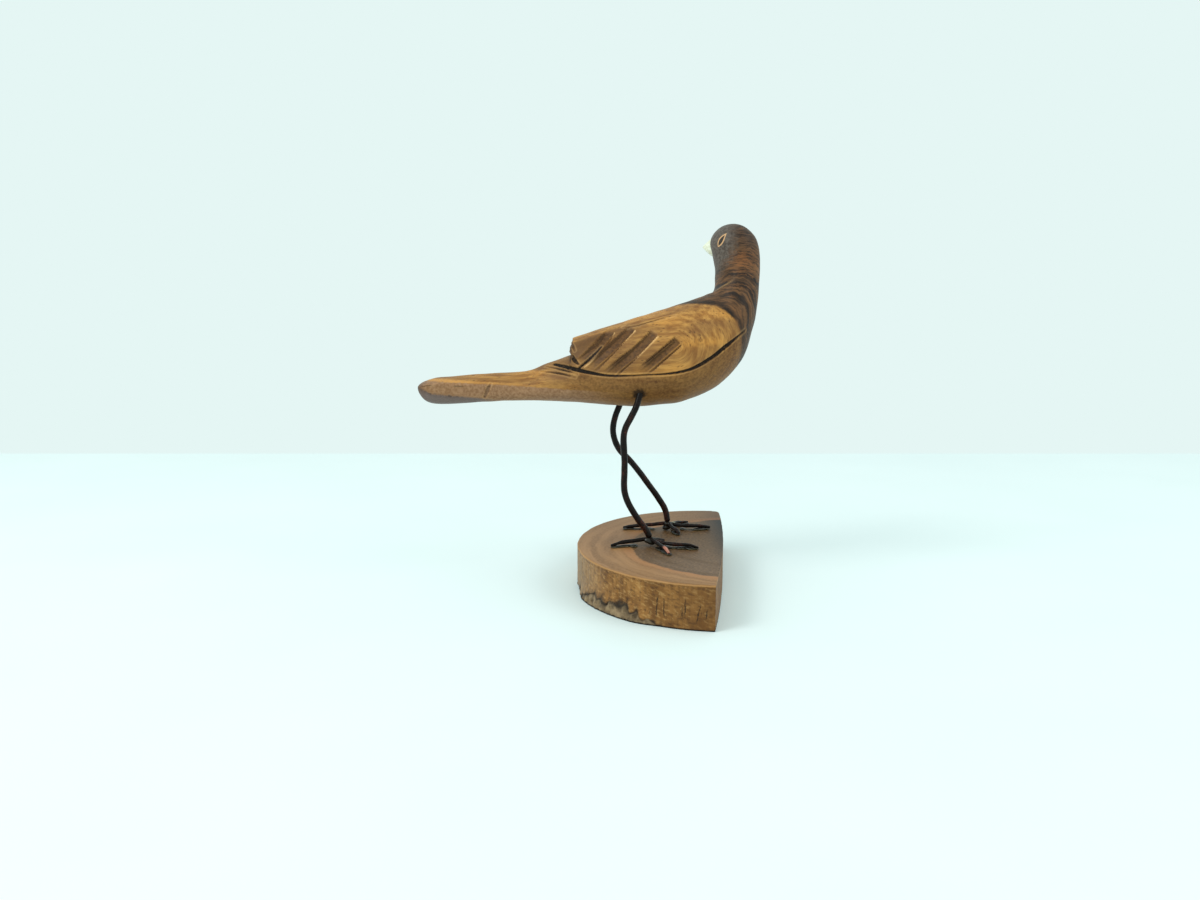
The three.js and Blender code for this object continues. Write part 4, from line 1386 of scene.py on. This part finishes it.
    def throat_depth(self, points: Array) -> Array:
        """Return how deep the wide gouge cuts at each point, less where its lift grows.

        Above its line the hollow is stretched to twice its width, so that it fades up the neck.
        """
        line = self.throat_line()
        gap, share = nearest_on_line(points, line)
        lift = np.interp(share, np.linspace(0, 1, len(self.throat)), [row[2] for row in self.throat])
        height = np.interp(share, np.linspace(0, 1, len(line)), line[:, 2])
        gap = np.where(points[:, 2] > height, gap * 0.5, gap)
        return np.maximum(np.sqrt(np.maximum(self.throat_radius ** 2 - gap ** 2, 0)) - lift, 0)

    def throat_crest_highlight(self, points: Array) -> Array:
        """Return 0 to 1 on the painted highlight along the crest that the wide gouge leaves below it, on the
        near side.
        """
        line = self.throat_line()
        gap, share = nearest_on_line(points, line)
        height = np.interp(share, np.linspace(0, 1, len(line)), line[:, 2])
        below = (points[:, 2] < height) & (points[:, 1] < BODY_Y)
        run = smooth_step(share, 0.36, 0.5) * smooth_step(share, 0.92, 0.7)
        return np.where(below, smooth_step(np.abs(gap - 3.0), 0.6, 0.1), 0) * run * 0.35

    def break_shift(self, points: Array, rough: Array, at_break: Array) -> Array:
        """Return how far each point of the broken wing end moves along X.

        The break bulges and dips with the ripples, and the edge beside it wanders in two waves
        that fade within a couple of millimetres.
        """
        x, z = points[:, 0], points[:, 2]
        fade = np.exp(-np.maximum(x + 37.9, 0) / 1.2) * (x > -38.95) * (z > 103.5)
        wander = 0.35 + 0.35 * np.sin((z - 102.2) * 0.95) + 0.12 * np.sin(z * 2.9)
        return at_break * rough * 0.35 + fade * wander

    def build(self) -> bpy.types.Object:
        """Make the body."""
        return make_piece("carved_body", [self.carve()], CarvedWoodFinish(), "body")


@dataclass
class Beak:
    """The pale beak let into the head.

    Attributes:
        root: The radius at its root, in mm.
        length: Its length, in mm.
        distance: How far its root stands from the head's middle, in mm.
        narrowing: Its width as a share of its height.
        dip: How far it points below level, in degrees.
    """

    root: float = 4.8
    length: float = 9.1
    distance: float = 8.6
    narrowing: float = 0.84
    dip: float = -1.0

    def build(self) -> bpy.types.Object:
        """Make the beak: a profile of radii turned about its axis, with a faint gape line."""
        heights = np.array([0.0, 0.02, 1.4, 3.0, 5.2, 7.2, self.length - 0.3, self.length])
        shares = np.array([0.0, 1.0, 1.0, 0.9, 0.66, 0.38, 0.14, 0.0])
        flat = np.stack([heights, shares * self.root], -1)
        profile = curve_through(flat[1:-1], np.linspace(0, len(flat) - 3, 60))
        tip = np.linspace(1, 0.05, 8)[1:]
        last = profile[-1]
        round_tip = np.stack([last[0] + (self.length - last[0]) * np.sqrt(1 - tip ** 2), last[1] * tip], -1)
        base_disc = np.stack([np.zeros(5), np.linspace(0.1, 0.98, 5) * self.root], -1)
        profile = np.vstack([base_disc, profile, round_tip])
        turn = np.linspace(0, 2 * math.pi, 72, endpoint=False)
        forward = direction(BEAK_AZIMUTH, self.dip)
        wide = direction(BEAK_AZIMUTH - 90)
        tall = np.cross(wide, forward)
        gape = 1 - 0.05 * np.exp(-((np.sin(turn) + 0.1) / 0.07) ** 2)
        start = HEAD_MIDDLE + forward * self.distance
        radius = profile[:, 1, None] * gape[None]
        rings = (
            start
            + profile[:, 0, None, None] * forward
            + (radius * np.cos(turn))[..., None] * wide * self.narrowing
            + (radius * np.sin(turn))[..., None] * tall
        )
        return make_piece("pale_beak", [Shell(rings)], PaleHornFinish(), "beak")


@dataclass
class WireLeg:
    """One leg of bent wire with four splayed toes and the glue that holds the foot.

    Attributes:
        name: The piece's name.
        node: The solid that it stands for.
        route: The wire's middle line, from its hole to the ankle, in mm.
        hole_way: The direction of the hole in the body.
        toes: The middle line of each toe, from the ankle to its tip, in mm.
        beads: The middle and the radii of each dark lump of glue, in mm.
        pale_beads: The same of each pale lump.
        bare_toe: The toe whose end shows copper, if any.
        wire_radius: The wire's radius, in mm.
        toe_radius: A toe's radius, in mm.
        in_hole: How far the wire runs into its hole, in mm.
        seed: The seed of its lumps.
    """

    name: str
    node: str
    route: Sequence[Sequence[float]]
    hole_way: Sequence[float]
    toes: Sequence[Sequence[Sequence[float]]]
    beads: Sequence[tuple[Sequence[float], Sequence[float]]]
    pale_beads: Sequence[tuple[Sequence[float], Sequence[float]]] = ()
    bare_toe: int | None = None
    wire_radius: float = 1.45
    toe_radius: float = 0.95
    in_hole: float = 6.8
    seed: int = 0

    def toe(self, index: int) -> Shell:
        """Return one toe: a lumpy, slightly flattened strand that narrows at its tip."""
        route = np.asarray(self.toes[index], float)

        def radius(share: Array) -> Array:
            """Return the toe's radius: full to two thirds of its run, then down to just over half."""
            return self.toe_radius * np.interp(share, [0, 0.33, 0.67, 1], [1, 1, 0.95, 0.6])

        shell = tube(route, radius, (0, 0, 1), 60, 20, 0.92, self.seed + index, 0.09)
        bare = np.zeros(shell.rings.shape[:2])
        if index == self.bare_toe:
            run = np.linspace(0, 1, len(bare))
            up = shell.rings[..., 2] - shell.rings.mean(1)[:, None, 2]
            stretch = smooth_step(run, 0.45, 0.7) * smooth_step(run, 0.97, 0.86)
            bare = stretch[:, None] * smooth_step(up, -0.5, 0.3)
        shell.paint["bare"] = bare
        return shell

    def glue(self) -> list[Shell]:
        """Return the glue: a flat lumpy bed under each toe and the lumps at the ankle."""
        beds = []
        for index, toe in enumerate(self.toes):
            bed = np.asarray(toe, float)[1:].copy()
            bed[:, 2] = 19.55
            if len(bed) < 3:
                bed = np.vstack([bed[:1], bed.mean(0, keepdims=True), bed[1:]])

            def radius(share: Array) -> Array:
                """Return the bed's half width, which swells and narrows along the toe."""
                return 1.35 + 0.3 * np.sin(share * 9 + index * 2.1)

            beds.append(tube(bed, radius, (0, 0, 1), 50, 18, 0.36, self.seed + 20 + index, 0.22))
        lumps = [blob(middle, radii, self.seed + 40 + k) for k, (middle, radii) in enumerate(self.beads)]
        return beds + lumps

    def build(self) -> list[bpy.types.Object]:
        """Make the leg, its glue and its pale glue beads."""
        route = np.asarray(self.route, float)
        way = np.asarray(self.hole_way, float)
        top = route[0] + way / np.linalg.norm(way) * self.in_hole

        def radius(share: Array) -> Array:
            """Return the wire's radius, the same all along."""
            return np.full(len(share), self.wire_radius)

        wire = tube(np.vstack([top, route]), radius, (0, 1, 0), 170, 28, 1.0, self.seed, 0.015)
        wire.paint["bare"] = np.zeros(wire.rings.shape[:2])
        shells = [wire] + [self.toe(index) for index in range(len(self.toes))]
        pieces = [make_piece(self.name, shells, CoatedWireFinish(), self.node)]
        pieces.append(make_piece(f"{self.name}_glue", self.glue(), DriedGlueFinish()))
        if self.pale_beads:
            beads = [blob(middle, radii, self.seed + 60) for middle, radii in self.pale_beads]
            finish = DriedGlueFinish("pale_glue", 0.8)
            pieces.append(make_piece(f"{self.name}_pale_glue", beads, finish))
        return pieces


def near_leg() -> WireLeg:
    """Return the near leg, the bird's right one."""
    return WireLeg(
        name="near_leg",
        node="right_leg",
        route=[
            [-7.5, -3.6, 87.0], [-9.0, -5, 82.1], [-11.4, -5.6, 77.3], [-13.7, -5.6, 72.6],
            [-14.5, -5.4, 67.6], [-14.1, -5.2, 60.4], [-14.0, -5.2, 53.6], [-14.2, -5.3, 47.2],
            [-13.6, -5.4, 42.2], [-11.2, -5.5, 36.7], [-7.6, -5.6, 31], [-4.3, -5.8, 26.6], [-2.4, -6, 22.8],
        ],
        hole_way=[0.24, 0.38, 0.9],
        toes=[
            [[-2.6, -6, 22.6], [-8, -6.6, 21.9], [-14.5, -7.8, 21.3], [-18.2, -9, 20.6], [-20.2, -9.8, 20.1]],
            [[-2.4, -6, 22.6], [3, -9.4, 21.4], [9, -11.6, 21.2], [14.6, -12.4, 21.1], [19, -13, 20]],
            [[-2.2, -6.2, 22.6], [0.2, -10.4, 21.8], [2.6, -15.2, 21.2], [4.2, -20, 20.7], [5.2, -24.2, 20]],
            [[-2.4, -5.8, 22.4], [0.6, -2.6, 21.2], [4.6, 0.6, 20.3]],
        ],
        beads=[([-2.4, -6.2, 21.5], [2.7, 2.4, 1.9]), ([1.4, -8.6, 20.8], [1.7, 1.4, 1.1])],
        bare_toe=2,
        seed=100,
    )


def far_leg() -> WireLeg:
    """Return the far leg, the bird's left one."""
    return WireLeg(
        name="far_leg",
        node="left_leg",
        route=[
            [-13.8, 26.8, 85.4], [-15.3, 27.4, 80.3], [-17.6, 27.3, 74.4], [-18.8, 27, 68.4],
            [-18.1, 26.8, 63.1], [-15.5, 26.6, 57.8], [-10.9, 26.5, 53], [-6.5, 26.4, 47.7],
            [-1.8, 26.2, 41.3], [2.5, 26, 35.4], [6.1, 25.9, 29.3], [7.6, 25.7, 23],
        ],
        hole_way=[0.24, -0.36, 0.9],
        toes=[
            [
                [7.4, 25.7, 22.6], [1.6, 25.9, 21.9], [-5.4, 26.4, 21.2], [-10.6, 26.7, 20.7],
                [-14, 26.8, 20.1],
            ],
            [[7.6, 25.7, 22.6], [13.4, 25.6, 21.4], [19.6, 25.8, 21.2], [24, 26.2, 21], [28.2, 27, 20.2]],
            [[7.6, 25.4, 22.6], [9.2, 21.6, 21.6], [11, 17.8, 21], [12.4, 14.2, 20.2]],
            [[7.6, 26, 22.4], [10, 30.4, 21.2], [13.2, 35, 20.9], [18.4, 38.8, 20.2]],
        ],
        beads=[([7.5, 25.6, 21.5], [2.6, 2.4, 1.9])],
        pale_beads=[([10.2, 27.2, 21.9], [1.5, 1.2, 0.8])],
        seed=200,
    )


@dataclass
class LogSlice:
    """The slice of half a log that the feet are fixed to.

    Attributes:
        thickness: Its height, in mm.
        half_length: Half its length along Y, in mm.
        bark_radius: Its reach from the bark side's centre along X, in mm.
        bark_centre_x: The X of that centre, in mm.
        near_corner: The near end of the sawn side, in mm.
        far_corner: The far end of the sawn side, in mm.
        corner_round: The size of the round at the far corner, in mm.
        sawn_bow: The point that the sawn side bows towards, in mm.
        rim_bevel: The width of the bevel round both rims, in mm.
        columns: How many points an outline has.
        middle: The point that every ring closes round, in mm.
        bark_proud: How far the bark left at the foot stands out, in mm.
        bark_top: The height at which it runs out, in mm.
        bark_rise: The ellipse angles between which it grows to that, in degrees.
        bark_fall: The ellipse angles between which it falls off again, in degrees.
    """

    thickness: float = 19.0
    half_length: float = 71.0
    bark_radius: float = 60.8
    bark_centre_x: float = 25.4
    near_corner: tuple[float, float] = (20.7, -70.2)
    far_corner: tuple[float, float] = (33.2, 69.8)
    corner_round: float = 3.6
    sawn_bow: tuple[float, float] = (34.1, 2.1)
    rim_bevel: float = 0.7
    columns: int = 880
    middle: tuple[float, float] = (4.0, 0.0)
    bark_proud: float = 2.4
    bark_top: float = 8.0
    bark_rise: tuple[float, float] = (188.0, 204.0)
    bark_fall: tuple[float, float] = (232.0, 248.0)

    def corner_angle(self, corner: Sequence[float]) -> float:
        """Return the ellipse angle of a corner."""
        return math.atan2(corner[1] / self.half_length, (corner[0] - self.bark_centre_x) / self.bark_radius)

    def bow(
        self, start: Sequence[float], control: Sequence[float], end: Sequence[float], count: int
    ) -> Array:
        """Return a quadratic curve from start to end that bends towards the control point."""
        t = np.linspace(0, 1, count)[:, None]
        a, b, c = (np.asarray(p, float) for p in (start, control, end))
        return (1 - t) ** 2 * a + 2 * t * (1 - t) * b + t ** 2 * c

    def outline(self, inset: float) -> Array:
        """Return the outline, drawn in by an inset, as points at equal distances.

        It is an arc of an ellipse on the bark side, a bowed line on the sawn side and a round at
        the far corner.
        """
        first, last = self.corner_angle(self.far_corner), 2 * math.pi + self.corner_angle(self.near_corner)
        angle = np.linspace(first, last, 2000)
        arc = np.stack([
            self.bark_centre_x + (self.bark_radius - inset) * np.cos(angle),
            (self.half_length - inset) * np.sin(angle),
        ], -1)
        corner_x, corner_y = self.far_corner
        edge_x = corner_x + self.corner_round - inset
        sawn = self.bow(arc[-1], self.sawn_bow, [edge_x, corner_y - self.corner_round], 1200)
        round_end = self.bow(sawn[-1], [edge_x, corner_y - inset], [corner_x, corner_y - inset], 60)
        ring = np.vstack([arc, sawn[1:], round_end[1:], arc[:1]])
        run = np.concatenate([[0], np.cumsum(np.linalg.norm(np.diff(ring, axis=0), axis=1))])
        even = np.linspace(0, run[-1], self.columns, endpoint=False)
        return np.stack([np.interp(even, run, ring[:, k]) for k in (0, 1)], -1)

    def rows(self) -> list[tuple[float, float, float]]:
        """Return the profile from the middle of the top to the middle of the underside.

        Each row is the share of the way from the middle to the outline, the inset and the height.
        """
        top, bevel = self.thickness, self.rim_bevel
        curve = np.linspace(0, math.pi / 2, 5)
        rows = [(share, bevel, top) for share in np.linspace(0.02, 0.985, 34)]
        rows += [(1.0, bevel * (1 - math.sin(a)), top - bevel * (1 - math.cos(a))) for a in curve]
        rows += [(1.0, 0.0, height) for height in np.linspace(top - bevel, bevel, 42)[1:-1]]
        rows += [(1.0, bevel * (1 - math.cos(a)), bevel * (1 - math.sin(a))) for a in curve]
        rows += [(share, bevel, 0.0) for share in np.linspace(0.985, 0.02, 8)]
        return rows

    def bark_span(self, points: Array) -> Array:
        """Return 0 to 1 by how fully bark is left at each point's angle round the slice."""
        east = (points[..., 0] - self.bark_centre_x) / self.bark_radius
        degrees = np.degrees(np.arctan2(points[..., 1] / self.half_length, east)) % 360
        return smooth_step(degrees, *self.bark_rise) * (1 - smooth_step(degrees, *self.bark_fall))

    def bark_edge(self, points: Array) -> Array:
        """Return the height of the bark's upper edge at each point, in mm.

        It is a hump along X on the near side and a lower one on the far side, made ragged by ripples.
        """
        x, y = points[..., 0], points[..., 1]
        ragged = ripple(points * [1, 1, 0.3], 3.6, 31) * 0.9 + ripple(points * [1, 1, 0.3], 1.1, 32) * 0.4
        near = 5.6 * (1 - ((x + 19.0) / 18.5) ** 2)
        far = 4.0 * (1 - ((x - 4.0) / 12) ** 2)
        return np.where(y < 0, near, far) + ragged

    def build(self) -> bpy.types.Object:
        """Make the slice: its profile carried round its outline, then bark, tool marks, dirt and painted
        shade along the bark's upper edge.

        A wall point moves out by the bark's reach, which falls straight to nothing at the bark's
        top, and in by ripples that stand for the marks of the knife.
        """
        rows = self.rows()
        middle = np.asarray(self.middle)
        outlines = {inset: self.outline(inset) for inset in sorted({row[1] for row in rows})}
        flat = np.stack([middle + share * (outlines[inset] - middle) for share, inset, _ in rows])
        height = np.repeat([[row[2]] for row in rows], self.columns, axis=1)
        rings = np.concatenate([flat, height[..., None]], -1)
        on_wall = np.array([[float(share == 1.0 and inset < 0.5)] for share, inset, _ in rows])
        at_rim = np.array([[float(share > 0.95)] for share, _, _ in rows])
        x, y, z = (rings[..., k] for k in range(3))
        above_bark = z - self.bark_edge(rings)
        bark = smooth_step(above_bark, 0.1, -0.35) * on_wall * (x < 30)
        # The dark line along the bark's upper edge is partly stain and partly painted shade under its small
        # ledge.
        edge = np.exp(-((above_bark + 0.1) / 0.45) ** 2) * on_wall * (x < 30)
        marks = 0.1 + 0.06 * ripple(rings * [1, 1, 0.1], 1.6, 33) + 0.05 * ripple(rings, 5.0, 34)
        marks = np.maximum(marks, 0.04)
        reach = self.bark_proud * self.bark_span(rings) * np.clip(1 - z / self.bark_top, 0, 1) * at_rim
        sunk = (marks + bark * (0.3 + 0.2 * ripple(rings, 1.4, 35)) + 0.25 * edge) * on_wall
        outward = rings[..., :2] - [self.bark_centre_x, 0]
        outward /= np.linalg.norm(outward, axis=-1, keepdims=True)
        inward = middle - rings[..., :2]
        inward /= np.linalg.norm(inward, axis=-1, keepdims=True)
        rings[..., :2] += outward * reach[..., None] + inward * sunk[..., None]
        stain = np.exp(-((above_bark - 0.1) / 1.5) ** 2) * (0.45 + 0.45 * ripple(rings, 3.0, 36))
        shell = Shell(rings, {"bark": bark, "grime": edge * 0.8 + stain * on_wall * (x < 30)})
        return make_piece("log_slice", [shell], LogSliceFinish(), "base")


@dataclass
class Studio:
    """Camera, floor and light.

    Attributes:
        eye: The camera's place, in metres.
        pitch: How far it looks down, in degrees.
        focal_pixels: Its focal length in pixels of the 1200 pixel wide picture.
        picture_width: That width.
        sensor: The sensor's width, in mm.
        floor_reach: The floor's corners as low x, low y, high x and high y, in metres.
    """

    eye: tuple[float, float, float] = (-0.025, -0.485, 0.138)
    pitch: float = 8.9
    focal_pixels: float = 1087.0
    picture_width: float = 1200.0
    sensor: float = 36.0
    floor_reach: tuple[float, float, float, float] = (-2.5, -2.5, 2.5, 0.378)

    def camera(self) -> None:
        """Place the camera where the photograph was taken from."""
        data = bpy.data.cameras.new("camera")
        data.sensor_width = self.sensor
        data.lens = self.focal_pixels / self.picture_width * self.sensor
        data.clip_start = 0.01
        made = bpy.data.objects.new("camera", data)
        made.location = self.eye
        made.rotation_euler = (math.radians(90 - self.pitch), 0, 0)
        bpy.context.scene.collection.objects.link(made)
        bpy.context.scene.camera = made

    def floor(self) -> None:
        """Lay the pale floor, whose far edge is the line where the photograph's floor ends."""
        low_x, low_y, high_x, high_y = self.floor_reach
        corners = [(low_x, low_y, 0), (high_x, low_y, 0), (high_x, high_y, 0), (low_x, high_y, 0)]
        mesh = bpy.data.meshes.new("floor")
        mesh.from_pydata(corners, [], [(0, 1, 2, 3)])
        mesh.materials.append(StudioFloorFinish().material())
        made = bpy.data.objects.new("floor", mesh)
        bpy.context.scene.collection.objects.link(made)

    def lamp(self, name: str, place: Sequence[float], size: float, power: float) -> None:
        """Hang a square soft light that faces the bird.

        Args:
            name: The light's name.
            place: Where it hangs, in metres.
            size: Its side, in metres.
            power: Its power, in watts.
        """
        data = bpy.data.lights.new(name, "AREA")
        data.size = size
        data.energy = power
        data.color = (0.97, 1.0, 0.99)
        made = bpy.data.objects.new(name, data)
        made.location = place
        aim_at = np.array([0.0, 0.0, 0.08]) - np.asarray(place)
        made.rotation_euler = (
            math.atan2(math.hypot(aim_at[0], aim_at[1]), -aim_at[2]),
            0,
            math.atan2(aim_at[1], aim_at[0]) - math.pi / 2,
        )
        bpy.context.scene.collection.objects.link(made)

    def light(self) -> None:
        """Set the pale surroundings and the soft lights."""
        world = bpy.data.worlds.new("studio")
        world.use_nodes = True
        background = world.node_tree.nodes["Background"]
        background.inputs["Color"].default_value = linear(229, 246, 244)
        bpy.context.scene.world = world
        self.lamp("left_light", (-0.8, -0.55, 0.9), 0.5, 6.0)
        self.lamp("right_light", (0.9, -0.35, 0.8), 0.6, 3.0)
        bpy.context.scene.view_settings.view_transform = "Standard"

    def build(self) -> None:
        """Set up the whole studio."""
        self.camera()
        self.floor()
        self.light()


def main() -> None:
    """Build the studio and the bird's pieces in order."""
    logging.basicConfig(level=logging.INFO, format="%(message)s")
    Studio().build()
    CarvedBody().build()
    Beak().build()
    near_leg().build()
    far_leg().build()
    LogSlice().build()


if __name__ == "__main__":
    main()
